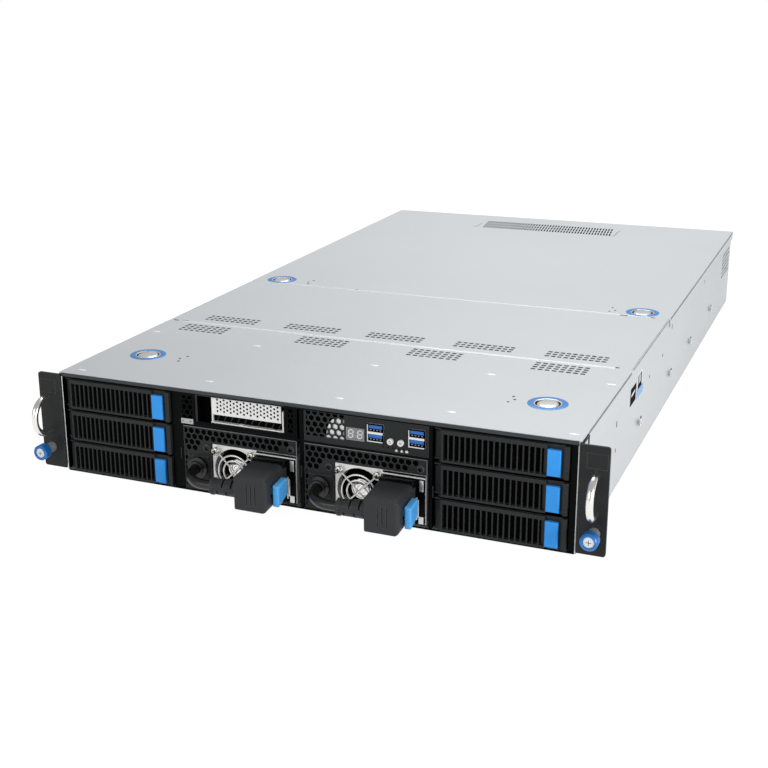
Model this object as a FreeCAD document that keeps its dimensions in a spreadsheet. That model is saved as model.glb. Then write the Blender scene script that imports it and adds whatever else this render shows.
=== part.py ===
import FreeCAD, Part
import math
import os
import re
import Sketcher

# A 2U rack server: zinc-plated chassis with two lift-off covers over a fixed bridge, six drive trays,
# two power supplies with locking plugs, an expansion slot and a control panel at the front.
# Frame: +X to the right seen from the front, +Y to the rear, +Z up. The origin is on the ground, at the
# middle of the server's width and 384.5 behind the covers' front edge, about half-way to the rear.

DIMENSIONS = {
    # overall
    "chassis_width": 438.8,
    "chassis_height": 87.7,
    "chassis_depth": 792.0,
    "front_y": -384.5,  # the plane of the covers' front edge
    "steel": 1.0,  # sheet thickness of the chassis and covers
    "panel_width": 482.6,  # over both rack ears, the 19 inch standard
    # covers
    "cover_width": 441.2,
    "front_cover_depth": 178.0,
    "bridge_end": 349.5,
    "rear_cover_end": 796.0,
    "front_skirt_drop": 21.0,
    "rear_skirt_drop": 9.5,
    "cover_gap": 0.1,
    "latch_radius": 8.8,
    "latch_hole_radius": 9.9,
    "front_latch_x": 177.5,
    "rear_latch_x": 192.2,
    "front_latch_y": 70.0,
    "rear_latch_y": 364.5,
    # rack ears, pull handles and thumbscrews
    "ear_width": 21.6,
    "ear_bottom": 2.4,
    "ear_top": 86.0,
    "ear_front": -1.6,
    "ear_thickness": 2.0,
    "ear_flange_depth": 20.0,
    "handle_x": 232.5,
    "handle_low": 35.0,
    "handle_high": 65.0,
    "handle_reach": 25.0,
    "handle_radius": 2.8,
    "handle_bend": 14.0,
    "rack_screw_spacing": 465.1,
    "rack_screw_height": 20.0,
    "screw_neck_radius": 2.6,
    "screw_thread_radius": 2.92,
    "screw_hole_radius": 3.0,
    # drive trays
    "tray_width": 103.5,
    "tray_height": 25.4,
    "tray_pitch": 27.7,
    "tray_bottom": 1.7,
    "tray_depth": 150.0,
    "left_tray_x": -217.7,
    "right_tray_x": 109.5,
    "lever_slot_pitch": 4.36,
    "lever_slot_width": 3.4,
    "lever_slot_count": 18,
    "lever_pivot_x": 4.6,
    "lever_pivot_y": 3.9,
    # power supply bays
    "left_bay_x": -104.0,
    "bay_pitch": 107.8,
    "fascia_width": 102.0,
    "fascia_height": 56.2,
    "cell_pitch": 5.65,
    "cell_row_pitch": 4.8,
    "cell_radius": 2.65,
    "supply_x": 26.0,
    "supply_width": 74.5,
    "supply_height": 39.7,
    "supply_bottom": 3.0,
    "supply_depth": 185.0,
    "supply_fan_x": 46.2,
    "supply_fan_z": 22.2,
    "supply_fan_radius": 18.6,
    "inlet_x": 80.4,
    "inlet_z": 25.2,
    "gland_x": 13.5,
    "gland_z": 22.0,
    "cord_radius": 4.0,
    "plug_width": 27.4,
    "plug_height": 27.3,
    "plug_front": -40.0,
    "plug_back": -10.0,
    "plug_droop": 2.4,
    # control panel
    "io_x": 4.0,
    "io_width": 102.4,
    "io_bottom": 57.8,
    "io_height": 25.2,
    "button_radius": 2.4,
    # inside
    "fan_size": 80.0,
    "fan_depth": 38.0,
    "fan_y": 262.0,
    "fan_pitch": 106.0,
    "board_y": 372.0,
    "board_depth": 330.0,
    "board_width": 330.0,
}

doc = FreeCAD.newDocument("rack_server")
sheet = doc.addObject("Spreadsheet::Sheet", "Dims")
for row, (alias, value) in enumerate(DIMENSIONS.items(), start=1):
    sheet.set(f"A{row}", alias)
    sheet.set(f"B{row}", str(value))
    sheet.setAlias(f"B{row}", alias)
doc.recompute()

NODES = {}  # node name: the document object that holds its shape


# ---------------------------------------------------------------- helpers


def formula(text):
    """Writes the sheet's name before each alias in a plain sum such as 'front_y + steel'."""
    return re.sub(r"[a-z]\w*", lambda m: f"Dims.{m[0]}" if m[0] in DIMENSIONS else m[0], str(text))


def size(text):
    """The number that a sum of aliases comes to."""
    return float(sheet.evalExpression(formula(text)))


def bind(obj, **values):
    for prop, text in values.items():
        obj.setExpression(prop, formula(text))


def put(obj, x=0, y=0, z=0):
    for letter, text in zip("xyz", (x, y, z)):
        obj.setExpression(f".Placement.Base.{letter}", formula(text))
    return obj


def box(x, y, z, lx, ly, lz, name="block"):
    """A block from its low corner and its three sizes."""
    obj = doc.addObject("Part::Box", name)
    bind(obj, Length=lx, Width=ly, Height=lz)
    return put(obj, x, y, z)


TURN_TO = {
    "z": FreeCAD.Rotation(),
    "y": FreeCAD.Rotation(FreeCAD.Vector(1, 0, 0), -90),
    "x": FreeCAD.Rotation(FreeCAD.Vector(0, 1, 0), 90),
}


def rod(x, y, z, radius, length, along="y", name="rod"):
    """A cylinder from the middle of its first end, along +X, +Y or +Z."""
    obj = doc.addObject("Part::Cylinder", name)
    bind(obj, Radius=radius, Height=length)
    obj.Placement = FreeCAD.Placement(FreeCAD.Vector(), TURN_TO[along])
    return put(obj, x, y, z)


def cone(x, y, z, radius1, radius2, length, along="y", name="cone"):
    obj = doc.addObject("Part::Cone", name)
    bind(obj, Radius1=radius1, Radius2=radius2, Height=length)
    obj.Placement = FreeCAD.Placement(FreeCAD.Vector(), TURN_TO[along])
    return put(obj, x, y, z)


def group(objs, name="group"):
    obj = doc.addObject("Part::Compound", name)
    obj.Links = list(objs)
    return obj


def fuse(*objs, name="union"):
    obj = doc.addObject("Part::MultiFuse", name)
    obj.Shapes = list(objs)
    obj.Refine = True
    return obj


def cut(base, *tools, name="cut"):
    obj = doc.addObject("Part::Cut", name)
    obj.Base = base
    obj.Tool = tools[0] if len(tools) == 1 else group(tools, name + "_tools")
    return obj


def mirrored(source, name="mirrored"):
    """The same piece on the other side of the server's middle plane."""
    obj = doc.addObject("Part::Mirroring", name)
    obj.Source = source
    obj.Normal = FreeCAD.Vector(1, 0, 0)
    return obj


def made(shape, name="made"):
    """A piece whose shape comes from Part's own functions."""
    obj = doc.addObject("Part::Feature", name)
    obj.Shape = shape
    return obj


def placed(source, x=0, y=0, z=0, name="placed"):
    """The same piece again at another place."""
    return put(group([source], name), x, y, z)


def node(label, obj):
    """Gives a finished piece its own name."""
    obj.Label = label
    NODES[label] = obj
    return obj


def prism(points, vector):
    """A closed outline of (x, y, z) points carried along a vector."""
    wire = Part.makePolygon([FreeCAD.Vector(*p) for p in points + points[:1]])
    return Part.Face(wire).extrude(FreeCAD.Vector(*vector))


def hexagon(x, z, radius, y, depth):
    """A six-sided cell with two upright flats, along +Y."""
    turns = [math.radians(30 + 60 * k) for k in range(6)]
    corners = [(x + radius * math.cos(t), y, z + radius * math.sin(t)) for t in turns]
    return prism(corners, (0, depth, 0))


def slots(name, centres, width, length, z, depth, lean=0.0):
    """Upright holes through a flat top: width along X, length along Y, each slanted by lean over its length."""
    holes = []
    for x, y in centres:
        near, far = y - length / 2, y + length / 2
        holes.append(
            prism(
                [
                    (x - width / 2 - lean / 2, near, z),
                    (x + width / 2 - lean / 2, near, z),
                    (x + width / 2 + lean / 2, far, z),
                    (x - width / 2 + lean / 2, far, z),
                ],
                (0, 0, depth),
            )
        )
    return made(Part.makeCompound(holes), name)


def sketch_on(body, plane):
    face = next(f for f in body.Origin.OriginFeatures if f.Role == plane)
    sketch = body.newObject("Sketcher::SketchObject", "sketch")
    sketch.AttachmentSupport = [(face, "")]
    sketch.MapMode = "FlatFace"
    return sketch


def rectangle(sketch, x, y, width, height):
    """A dimensioned rectangle from its low corner; its four sizes follow the sheet."""
    corners = [
        (size(x), size(y)),
        (size(x) + size(width), size(y)),
        (size(x) + size(width), size(y) + size(height)),
        (size(x), size(y) + size(height)),
    ]
    first = sketch.GeometryCount
    for k in range(4):
        a, b = corners[k], corners[(k + 1) % 4]
        line = Part.LineSegment(FreeCAD.Vector(*a, 0), FreeCAD.Vector(*b, 0))
        sketch.addGeometry(line, False)
    for k in range(4):
        sketch.addConstraint(
            Sketcher.Constraint("Coincident", first + k, 2, first + (k + 1) % 4, 1)
        )
        sketch.addConstraint(
            Sketcher.Constraint("Horizontal" if k % 2 == 0 else "Vertical", first + k)
        )
    rules = (
        ("DistanceX", (-1, 1, first, 1), x),
        ("DistanceY", (-1, 1, first, 1), y),
        ("DistanceX", (first, 1, first, 2), width),
        ("DistanceY", (first + 1, 1, first + 1, 2), height),
    )
    for kind, ends, text in rules:
        number = sketch.addConstraint(Sketcher.Constraint(kind, *ends, size(text)))
        sketch.setExpression(f"Constraints[{number}]", formula(text))


def grid(x0, y0, columns, rows, step_x, step_y, lean=0.0):
    """Hole centres in rows, each row shifted a little against the one before."""
    return [
        (x0 + step_x * i + lean * j, y0 + step_y * j) for j in range(rows) for i in range(columns)
    ]


FRONT = size("front_y")
TOP = size("chassis_height")


# ---------------------------------------------------------------- chassis pan


def make_base_pan():
    """One folded steel tray: floor, two side walls and the rear wall, with its riveted rail studs."""
    inside = box(
        "-chassis_width / 2 + steel",
        "front_y + 1",
        "steel",
        "chassis_width - 2 * steel",
        "chassis_depth - 2",
        "chassis_height",
    )
    outside = box(
        "-chassis_width / 2", "front_y + 1", 0, "chassis_width", "chassis_depth - 1", "chassis_height - steel"
    )
    side = size("chassis_width / 2")
    rear = size("front_y + chassis_depth")
    wall = size("steel")
    holes = []
    for sign in (-1, 1):  # slotted vent near the rear of each side wall
        for row in range(6):
            for column in range(6):
                low = FreeCAD.Vector(sign * side - 2, rear - 68 + 10 * column, 43 + 5.1 * row)
                holes.append(Part.makeBox(4, 7.2, 3.3, low))
    for column in range(-9, 10):  # upright slots across the rear wall
        for z in (14, 46):
            holes.append(Part.makeBox(7, 4, 26, FreeCAD.Vector(13.6 * column - 3.5, rear - 3, z)))
    for x in (-196, 148):  # openings for the two mains inlets
        holes.append(Part.makeBox(48, 4, 27.6, FreeCAD.Vector(x, rear - 3, 20)))
    # two openings in the right-hand wall over a side connector
    holes.append(Part.makeBox(4, 22, 15, FreeCAD.Vector(side - 2, FRONT + 207, 60)))
    holes.append(Part.makeBox(4, 20, 13, FreeCAD.Vector(side - 2, FRONT + 180, 56)))
    for y, z in ((374, 74.5), (329, 58), (264, 56.5), (580, 72), (127, 57.5), (127, 35)):
        for sign in (-1, 1):
            low = FreeCAD.Vector(sign * side - 2, FRONT + y, z)
            holes.append(Part.makeCylinder(1.3, 4, low, FreeCAD.Vector(1, 0, 0)))
    studs = []
    for y in RAIL_STUD_Y:  # shoulder studs that hang in a rack rail's keyholes
        for sign in (-1, 1):
            start = FreeCAD.Vector(sign * (side - wall / 2), FRONT + y, RAIL_STUD_Z)
            out = FreeCAD.Vector(sign, 0, 0)
            neck = Part.makeCylinder(2.2, 2.2, start, out)
            head = Part.makeCylinder(3.6, 0.9, start + out * 2.2, out)
            studs.append(neck.fuse(head))
    pan = cut(outside, inside, made(Part.makeCompound(holes), "pan_holes"), name="pan_shell")
    return fuse(pan, made(Part.makeCompound(studs), "rail_studs"), name="pan")


RAIL_STUD_Y = (220.0, 370.5, 490.5, 634.0)
RAIL_STUD_Z = 28.0


# ---------------------------------------------------------------- covers and bridge


def cover_plate(y0, y1, skirt_y0, skirt_y1, drop):
    """A flat plate with a folded skirt down each side, kept just outside the side walls."""
    length, skirt_length = f"({y1}) - ({y0})", f"({skirt_y1}) - ({skirt_y0})"
    plate = box("-cover_width / 2", y0, "chassis_height - steel", "cover_width", length, "steel")
    skirts = [
        box(x, skirt_y0, f"chassis_height - {drop}", "steel", skirt_length, f"{drop} - steel / 2")
        for x in ("-cover_width / 2", "cover_width / 2 - steel")
    ]
    return [plate, *skirts]


def latch_holes(cover):
    """The two round openings for the push latches of a cover."""
    y = f"front_y + {cover}_latch_y"
    return [
        rod(x, y, "chassis_height - 2 * steel", "latch_hole_radius", "3 * steel", along="z")
        for x in (f"-{cover}_latch_x", f"{cover}_latch_x")
    ]


def make_front_cover():
    pieces = cover_plate(
        "front_y",
        "front_y + front_cover_depth",
        "front_y + ear_flange_depth + 3",
        "front_y + front_cover_depth - 12",
        "front_skirt_drop",
    )
    pieces.append(
        box(
            "-chassis_width / 2 + 0.4",
            "front_y",
            "chassis_height - 2.6",
            "chassis_width - 0.8",
            0.8,
            "2.6 - steel / 2",
        )
    )
    centres = []
    for x0 in FRONT_VENT_X:
        centres += grid(x0, FRONT + 152.5, 8, 4, 5.95, 5.85)
    vents = slots("front_vents", centres, 4.1, 3.4, TOP - 2, 3)
    return cut(fuse(*pieces, name="front_cover_body"), vents, *latch_holes("front"), name="front_top")


FRONT_VENT_X = (-193.6, -74.0, 32.9, 143.1)
BRIDGE_VENT_X = (-187.7, -104.3, -21.9, 61.8, 144.2)


def make_middle_bridge():
    """The fixed crosspiece between the covers, folded down inside the side walls and screwed to them."""
    plate = box(
        "-chassis_width / 2",
        "front_y + front_cover_depth + cover_gap",
        "chassis_height - steel",
        "chassis_width",
        "bridge_end - front_cover_depth - 2 * cover_gap",
        "steel",
    )
    flanges = [
        box(
            x,
            "front_y + front_cover_depth + 4",
            "chassis_height - 16",
            "steel",
            "bridge_end - front_cover_depth - 8",
            "16 - steel / 2",
        )
        for x in ("-chassis_width / 2 + steel + 0.2", "chassis_width / 2 - 2 * steel - 0.2")
    ]
    centres = []
    for x0 in BRIDGE_VENT_X:
        centres += grid(x0, FRONT + 192.5, 10, 3, 5.44, 6.2)
    vents = slots("bridge_vents", centres, 3.9, 3.6, TOP - 2, 3)
    return cut(fuse(plate, *flanges, name="bridge_body"), vents, name="bridge")


def make_rear_cover():
    pieces = cover_plate(
        "front_y + bridge_end",
        "front_y + rear_cover_end",
        "front_y + bridge_end + 6",
        "front_y + rear_cover_end",
        "rear_skirt_drop",
    )
    pieces.append(
        box(
            "-cover_width / 2",
            "front_y + rear_cover_end - steel",
            "chassis_height - rear_skirt_drop",
            "cover_width",
            "steel",
            "rear_skirt_drop - steel / 2",
        )
    )
    centres = grid(-78.5, FRONT + 723.5, 46, 3, 3.58, 15.2, lean=-1.85)
    vents = slots("rear_vents", centres, 1.8, 13.0, TOP - 2, 3, lean=-1.6)
    return cut(fuse(*pieces, name="rear_cover_body"), vents, *latch_holes("rear"), name="rear_top")


def make_cover_latch():
    """A domed push button with a collar under the cover's plate."""
    button = rod(0, 0, "-5", "latch_radius", "5.2", along="z")
    dome = doc.addObject("Part::Sphere", "dome")
    bind(dome, Radius=60, Angle1=0)
    put(dome, 0, 0, "-59.3")
    cap = rod(0, 0, "0.1", "latch_radius", 4, along="z")
    lens = doc.addObject("Part::Common", "crown")
    lens.Base = dome
    lens.Tool = cap
    collar = rod(0, 0, "-6", "latch_radius + 2.4", "2.2", along="z")
    return fuse(button, lens, collar, name="latch")


# ---------------------------------------------------------------- ears, handles, thumbscrews


def make_ear():
    """The left rack ear: a panel with rounded corners and a flange along the side wall."""
    body = doc.addObject("PartDesign::Body", "ear_body")
    sketch = sketch_on(body, "XZ_Plane")
    rectangle(sketch, "-panel_width / 2", "ear_bottom", "ear_width", "ear_top - ear_bottom")
    pad = body.newObject("PartDesign::Pad", "ear_panel")
    pad.Profile = sketch
    bind(pad, Length="ear_thickness")
    doc.recompute()
    corners = [
        f"Edge{k}"
        for k, edge in enumerate(pad.Shape.Edges, start=1)
        if edge.Length < size("ear_thickness") + 0.01 and edge.CenterOfMass.x < size("-panel_width / 2 + 1")
    ]
    rounded = body.newObject("PartDesign::Fillet", "ear_corners")
    rounded.Base = (pad, corners)
    rounded.Radius = 2.2
    body.Tip = rounded
    doc.recompute()
    # the pad runs towards -Y from its sketch, so the body stands at the panel's rear face
    panel = put(body, 0, "front_y + ear_front + ear_thickness", 0)
    rear = FRONT + size("ear_front + ear_thickness")
    side = -size("chassis_width / 2") - 0.1
    flange = prism(
        [
            (side, rear - 0.5, 5),
            (side, rear + size("ear_flange_depth") - 1, 5),
            (side, rear + size("ear_flange_depth") - 1, 78),
            (side, rear + size("ear_flange_depth") - 6, 86.5),
            (side, rear - 0.5, 86.5),
        ],
        (-1.4, 0, 0),
    )
    hole = rod("-rack_screw_spacing / 2", "front_y - 4", "rack_screw_height", "screw_hole_radius", 8)
    return cut(fuse(panel, made(flange, "ear_flange"), name="ear_blank"), hole, name="ear")


def make_handle(sign):
    """A bent steel rod: two legs out of the ear joined by an upright bar."""
    x = sign * size("handle_x")
    root = FRONT + size("ear_front")
    bar = FRONT - size("handle_reach") + size("handle_radius")
    low, high, bend = size("handle_low"), size("handle_high"), size("handle_bend")
    knee = bend * (1 - math.sqrt(0.5))
    at = lambda y, z: FreeCAD.Vector(x, y, z)
    path = Part.Wire(
        [
            Part.LineSegment(at(root, high), at(bar + bend, high)).toShape(),
            Part.Arc(at(bar + bend, high), at(bar + knee, high - knee), at(bar, high - bend)).toShape(),
            Part.LineSegment(at(bar, high - bend), at(bar, low + bend)).toShape(),
            Part.Arc(at(bar, low + bend), at(bar + knee, low + knee), at(bar + bend, low)).toShape(),
            Part.LineSegment(at(bar + bend, low), at(root, low)).toShape(),
        ]
    )
    circle = Part.Circle(at(root, high), FreeCAD.Vector(0, 1, 0), size("handle_radius")).toShape()
    return made(path.makePipeShell([Part.Wire(circle)], True, False), "handle")


def make_thumbscrew(sign):
    """Knob, collar, captive neck and thread as one turned piece on a rack screw's axis."""
    body = doc.addObject("PartDesign::Body", "thumbscrew_body")
    sketch = sketch_on(body, "XY_Plane")
    neck, thread = size("screw_neck_radius"), size("screw_thread_radius")
    profile = [
        (0, -20.0),
        (5.4, -20.0),
        (6.3, -19.0),
        (6.3, -11.6),
        (5.4, -10.4),
        (4.4, -10.4),
        (4.4, -1.7),
        (neck, -1.7),
        (neck, 0.7),
        (thread, 0.7),
        (thread, 8.0),
        (2.2, 9.0),
        (0, 9.0),
    ]
    for a, b in zip(profile, profile[1:] + profile[:1]):
        sketch.addGeometry(Part.LineSegment(FreeCAD.Vector(*a, 0), FreeCAD.Vector(*b, 0)), False)
    turned = body.newObject("PartDesign::Revolution", "turned")
    turned.Profile = sketch
    turned.ReferenceAxis = (sketch, ["V_Axis"])
    turned.Angle = 360
    body.Tip = turned
    return put(body, f"{sign} * rack_screw_spacing / 2", "front_y", "rack_screw_height")


# ---------------------------------------------------------------- black front frame


def make_front_frame():
    """Cage walls round the drive bays, the bars between the modules and the slot module's panel."""
    top, low = "chassis_height - 5.0", "steel + 0.1"
    cage = "tray_depth + 6"
    upright = "chassis_height - 1.2 - steel - 0.1"
    post_x = "right_tray_x + tray_width + 0.4"
    post_width = "chassis_width / 2 - steel - tray_width - right_tray_x - 0.6"
    pieces = [
        box("left_tray_x - 0.5", "front_y + 1", top, "chassis_width - 2.2", 12, 3.8),
        box("left_tray_x + tray_width + 0.3", "front_y + 1", low, 8.6, 4, upright),
        box("left_tray_x + tray_width + 0.3", "front_y + 1", low, 1, cage, upright),
        box("left_bay_x - 1.6", "front_y + 1", low, 1, cage, upright),
        box(0.3, "front_y + 1", low, 2.8, cage, upright),
        box("io_x + io_width + 0.2", "front_y + 1", low, 2.6, cage, upright),
        box(post_x, "front_y + 1", low, post_width, 12, upright),
        box(post_x, "front_y + 1", low, 1, cage, upright),
        box("left_bay_x - 1", "front_y + 1.2", "fascia_height + 0.3", "2 * bay_pitch - 2", 40, 1),
    ]
    panel_height = "chassis_height - 5.5 - fascia_height"
    panel = box(
        "left_bay_x - 1.6", "front_y + 1.4", "fascia_height + 1", "fascia_width + 1.6", 1, panel_height
    )
    recess = box("left_bay_x + 14", "front_y", "60.5", 77.2, 6, 22)
    cells = []
    for low, high, middle, odd in ((-0.4, 9.1, 4.2, 1), (94.2, 98.6, 96.4, 0)):
        x = size("left_bay_x")
        field = Part.makeBox(high - low, 20, 19.2, FreeCAD.Vector(x + low, FRONT - 5, 62.1))
        comb = [
            hexagon(x + middle + 2.75 * i, 80.4 - 4.4 * j, 2.35, FRONT, 6)
            for j in range(5)
            for i in range(-2, 3)
            if (i + j) % 2 == odd
        ]
        cells.append(Part.makeCompound(comb).common(field))
    pocket = [  # the slot's own shallow box behind its opening
        box("left_bay_x + 13", "front_y + 2.2", "59.5", 1, 60, 22),
        box("left_bay_x + 91.2", "front_y + 2.2", "59.5", 1, 60, 22),
    ]
    return fuse(
        *pieces,
        cut(panel, recess, made(Part.makeCompound(cells), "slot_cells"), name="slot_panel"),
        *pocket,
        name="frame",
    )


def make_slot_bracket():
    """The perforated steel filler in the expansion slot, with its folded lip and screw notch."""
    x = size("left_bay_x")
    plate = box("left_bay_x + 25.4", "front_y + 4", 67.4, 61.8, 0.9, 15.0)
    holes = []
    for i in range(19):
        for j in range(4 - i % 2):
            z = 70.6 + 3.2 * j + 1.6 * (i % 2)
            start = FreeCAD.Vector(x + 30.7 + 2.98 * i, FRONT + 2.5, z)
            holes.append(Part.makeCylinder(0.95, 4, start, FreeCAD.Vector(0, 1, 0)))
    lip = box("left_bay_x + 25.4", "front_y + 2.6", 60.7, 64.6, 5.2, 0.9)
    tail = box("left_bay_x + 88.8", "front_y + 2.6", 60.7, 1.2, 5.2, 17.2)
    side = box("left_bay_x + 25.4", "front_y + 4", 60.7, 0.9, 4.4, 21.7)
    notch = rod("left_bay_x + 81.5", "front_y + 7.2", 60, 2.4, 4, along="z")
    return cut(
        fuse(plate, lip, tail, side, name="bracket_body"),
        made(Part.makeCompound(holes), "bracket_holes"),
        notch,
        name="bracket",
    )


# ---------------------------------------------------------------- drive tray, in its own frame


def make_tray_carrier():
    """Two rails, a floor and a rear bar behind an open front with a solid right-hand end."""
    window = box(9, -1, 2.2, 75, 6, "tray_height - 4.4")
    front = box(7.6, 0.7, 0.2, "tray_width - 8", 1.4, "tray_height - 0.4")
    post = box("tray_width - 4.0", -2.0, 0.2, 3.6, 3.4, "tray_height - 0.4")
    rails = [
        box(1.2, 8, 1, 1.2, "tray_depth - 8", 20),
        box("tray_width - 2.4", 1, 1, 1.2, "tray_depth - 1", 20),
        box(1.2, 2, 1, 6.6, 6.2, 0.9),
        box(1.2, 2, "tray_height - 1.1", 6.6, 6.2, 0.9),
        box(7.6, 1, 1, 1.2, 7.2, 1.2),
        box(7.6, 1, "tray_height - 2.2", 1.2, 7.2, 2.0),
        box(1.2, 7.4, 1, 1.2, 2, "tray_height - 1.2"),
    ]
    floor = box(1.2, 7.4, 1, "tray_width - 2.6", "tray_depth - 7.4", 0.9)
    rear = box(1.2, "tray_depth - 1.2", 1, "tray_width - 2.4", 1.2, 8)
    lamps = [rod("tray_width - 2.1", -5, z, 0.6, 4, name="lamp_hole") for z in (7.1, 17.8)]
    pins = [
        rod("lever_pivot_x", "lever_pivot_y", z, 1.3, 2.4, along="z", name="pin_hole")
        for z in (0.4, "tray_height - 2")
    ]
    return cut(
        fuse(cut(front, window, name="bezel"), post, *rails, floor, rear, name="carrier_body"),
        *lamps,
        *pins,
        name="carrier",
    )


def make_tray_lever():
    """The slotted front that swings open on a pin at its left end."""
    body = doc.addObject("PartDesign::Body", "lever_body")
    outline = sketch_on(body, "XZ_Plane")
    rectangle(outline, 7.6, 0.15, 79.4, "tray_height - 0.3")
    face = body.newObject("PartDesign::Pad", "lever_face")
    face.Profile = outline
    face.Length = 1.2
    doc.recompute()
    opening = sketch_on(body, "XZ_Plane")
    rectangle(opening, 8.9, 1.9, "lever_slot_width", "tray_height - 5.2")
    slot = body.newObject("PartDesign::Pocket", "lever_slot")
    slot.Profile = opening
    slot.Type = "ThroughAll"
    slot.Midplane = True
    row = body.newObject("PartDesign::LinearPattern", "lever_slots")
    row.Originals = [slot]
    row.Direction = (opening, ["H_Axis"])
    bind(row, Length="lever_slot_pitch * (lever_slot_count - 1)", Occurrences="lever_slot_count")
    body.Tip = row
    put(body, 0, -0.5, 0)
    height = size("tray_height")
    px, py = size("lever_pivot_x"), size("lever_pivot_y")
    root = prism(
        [
            (1.4, 3.4, 0.15),
            (7.7, -1.7, 0.15),
            (7.7, 0.6, 0.15),
            (5.6, 1.6, 0.15),
            (5.6, 4.2, 0.15),
        ],
        (0, 0, height - 0.3),
    )
    knuckle = Part.makeCylinder(2.6, height - 4.6, FreeCAD.Vector(px, py, 2.3))
    pin = Part.makeCylinder(1.24, height - 1.6, FreeCAD.Vector(px, py, 0.8))
    # lugs of the carrier pass above and below the knuckle
    clear = [
        Part.makeBox(10, 6, 2.15, FreeCAD.Vector(0, 0.2, 0)),
        Part.makeBox(10, 6, 2.25, FreeCAD.Vector(0, 0.2, height - 2.25)),
    ]
    root = root.cut(Part.makeCompound(clear)).fuse([knuckle, pin])
    return fuse(body, made(root, "lever_root"), name="lever")


def make_release_tab():
    """The blue latch at the lever's free end; it slides to the right to free the lever."""
    slab = box(87.2, -3.0, 1.7, 9.9, 3.2, 20.2)
    tongue = box(88.8, -0.5, 4.0, 6.8, 1.0, 15.0)
    soft = doc.addObject("Part::Fillet", "tab_soft")
    soft.Base = slab
    doc.recompute()
    edges = [
        (k, 0.8, 0.8)
        for k, edge in enumerate(slab.Shape.Edges, start=1)
        if edge.CenterOfMass.y < -2.95
    ]
    soft.Edges = edges
    return fuse(soft, tongue, name="tab")


# ---------------------------------------------------------------- power supply bay, in its own frame


def fascia_cells():
    """Centres of the honeycomb: two full rows, a short patch at the left and a column down that edge."""
    pitch, row_pitch = size("cell_pitch"), size("cell_row_pitch")
    top_row = size("fascia_height") - 4.1
    cells = [(1.9 + pitch * i, top_row) for i in range(17)]
    cells += [(4.7 + pitch * i, top_row - row_pitch) for i in range(15)]
    cells += [(1.9 + pitch * i, top_row - 2 * row_pitch) for i in range(3)]
    cells += [(4.7 + pitch * i, top_row - 3 * row_pitch) for i in range(2)]
    return cells


def make_psu_fascia():
    """The screwed panel round a power supply, with its honeycomb vent and the cord gland's seat."""
    panel = box(0.2, 0.8, 1.3, "fascia_width - 0.4", 1.2, "fascia_height - 1.5")
    window = box("supply_x - 0.6", -1, 0, "fascia_width", 6, "supply_bottom + supply_height + 1")
    gland = rod("gland_x", -2, "gland_z", 8.2, 8)
    holes = [hexagon(x, z, size("cell_radius"), -1, 6) for x, z in fascia_cells()]
    column = [hexagon(1.9 if j % 2 else 0.2, 33.2 - 4.6 * j, 2.3, -1, 6) for j in range(7)]
    rim = box(0.2, 0.8, 1.3, 0.9, 8, "fascia_height - 1.5")
    edge = Part.makeBox(1.1, 20, 80, FreeCAD.Vector(0, -5, 0))
    vents = made(Part.makeCompound(holes + [h.cut(edge) for h in column]), "cells")
    seat = cut(
        box("gland_x - 9.4", -0.2, "gland_z - 9.2", 18.8, 1.2, 18.6),
        rod("gland_x", -2, "gland_z", 8.2, 8),
        name="gland_seat",
    )
    top_flange = box(0.2, 0.8, "fascia_height - 1", "fascia_width - 0.4", 10, 0.8)
    plate = cut(panel, window, gland, vents, name="fascia_plate")
    return fuse(plate, rim, seat, top_flange, name="fascia")


def make_cord_gland():
    """A threaded gland through the fascia: nut outside, sleeve, and a nut behind the panel."""
    bore = rod("gland_x", -8, "gland_z", "cord_radius + 0.05", 30)
    nut = made(hexagon(size("gland_x"), size("gland_z"), 9.3, -3.0, 2.7), "gland_nut")
    dome = cone("gland_x", -5.4, "gland_z", 5.4, 6.6, 2.5)
    sleeve = rod("gland_x", -0.5, "gland_z", 8.0, 9)
    back = made(hexagon(size("gland_x"), size("gland_z"), 10.2, 2.1, 4), "gland_back_nut")
    return cut(fuse(nut, dome, sleeve, back, name="gland_body"), bore, name="gland")


def make_psu_case():
    """A power supply's steel case with its fan tunnel and mains inlet at the front."""
    case = box("supply_x", 2, "supply_bottom", "supply_width", "supply_depth", "supply_height")
    tunnel = rod("supply_fan_x", 0, "supply_fan_z", "supply_fan_radius", 24)
    inlet = box("inlet_x - 12.6", 0, "inlet_z - 8.6", 25.2, 18, 17.2)
    inside = box(
        "supply_x + 1", 30, "supply_bottom + 1", "supply_width - 2", "supply_depth", "supply_height - 2"
    )
    latch_gap = box("supply_x + supply_width - 6", 0, "supply_bottom + 5", 3.4, 12, 16)
    handle = [
        box("supply_x + supply_width - 7.4", -0.6, "supply_bottom + 4", 1.0, 2.8, 18),
        box("supply_x + 38.2", 0.2, "supply_bottom + supply_height - 2.4", "supply_width - 38.6", 2, 1.0),
    ]
    shell = cut(case, tunnel, inlet, inside, latch_gap, name="supply_shell")
    return fuse(shell, *handle, name="supply")


def blades(count, hub, tip, twist, depth):
    """Slanted fan blades from hub to tip, each a ruled strip twisted along Y."""
    made_blades = []
    for k in range(count):
        turn = 360.0 * k / count
        sections = []
        for y, angle in ((0, 0), (depth / 2, twist / 2), (depth, twist)):
            corners = [
                FreeCAD.Vector(hub - 1.0, y, -0.45),
                FreeCAD.Vector(tip, y, -0.45),
                FreeCAD.Vector(tip, y, 0.45),
                FreeCAD.Vector(hub - 1.0, y, 0.45),
            ]
            wire = Part.makePolygon(corners + corners[:1])
            wire.rotate(FreeCAD.Vector(), FreeCAD.Vector(0, 1, 0), turn + angle)
            sections.append(wire)
        made_blades.append(Part.makeLoft(sections, True, True))
    return made_blades


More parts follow.
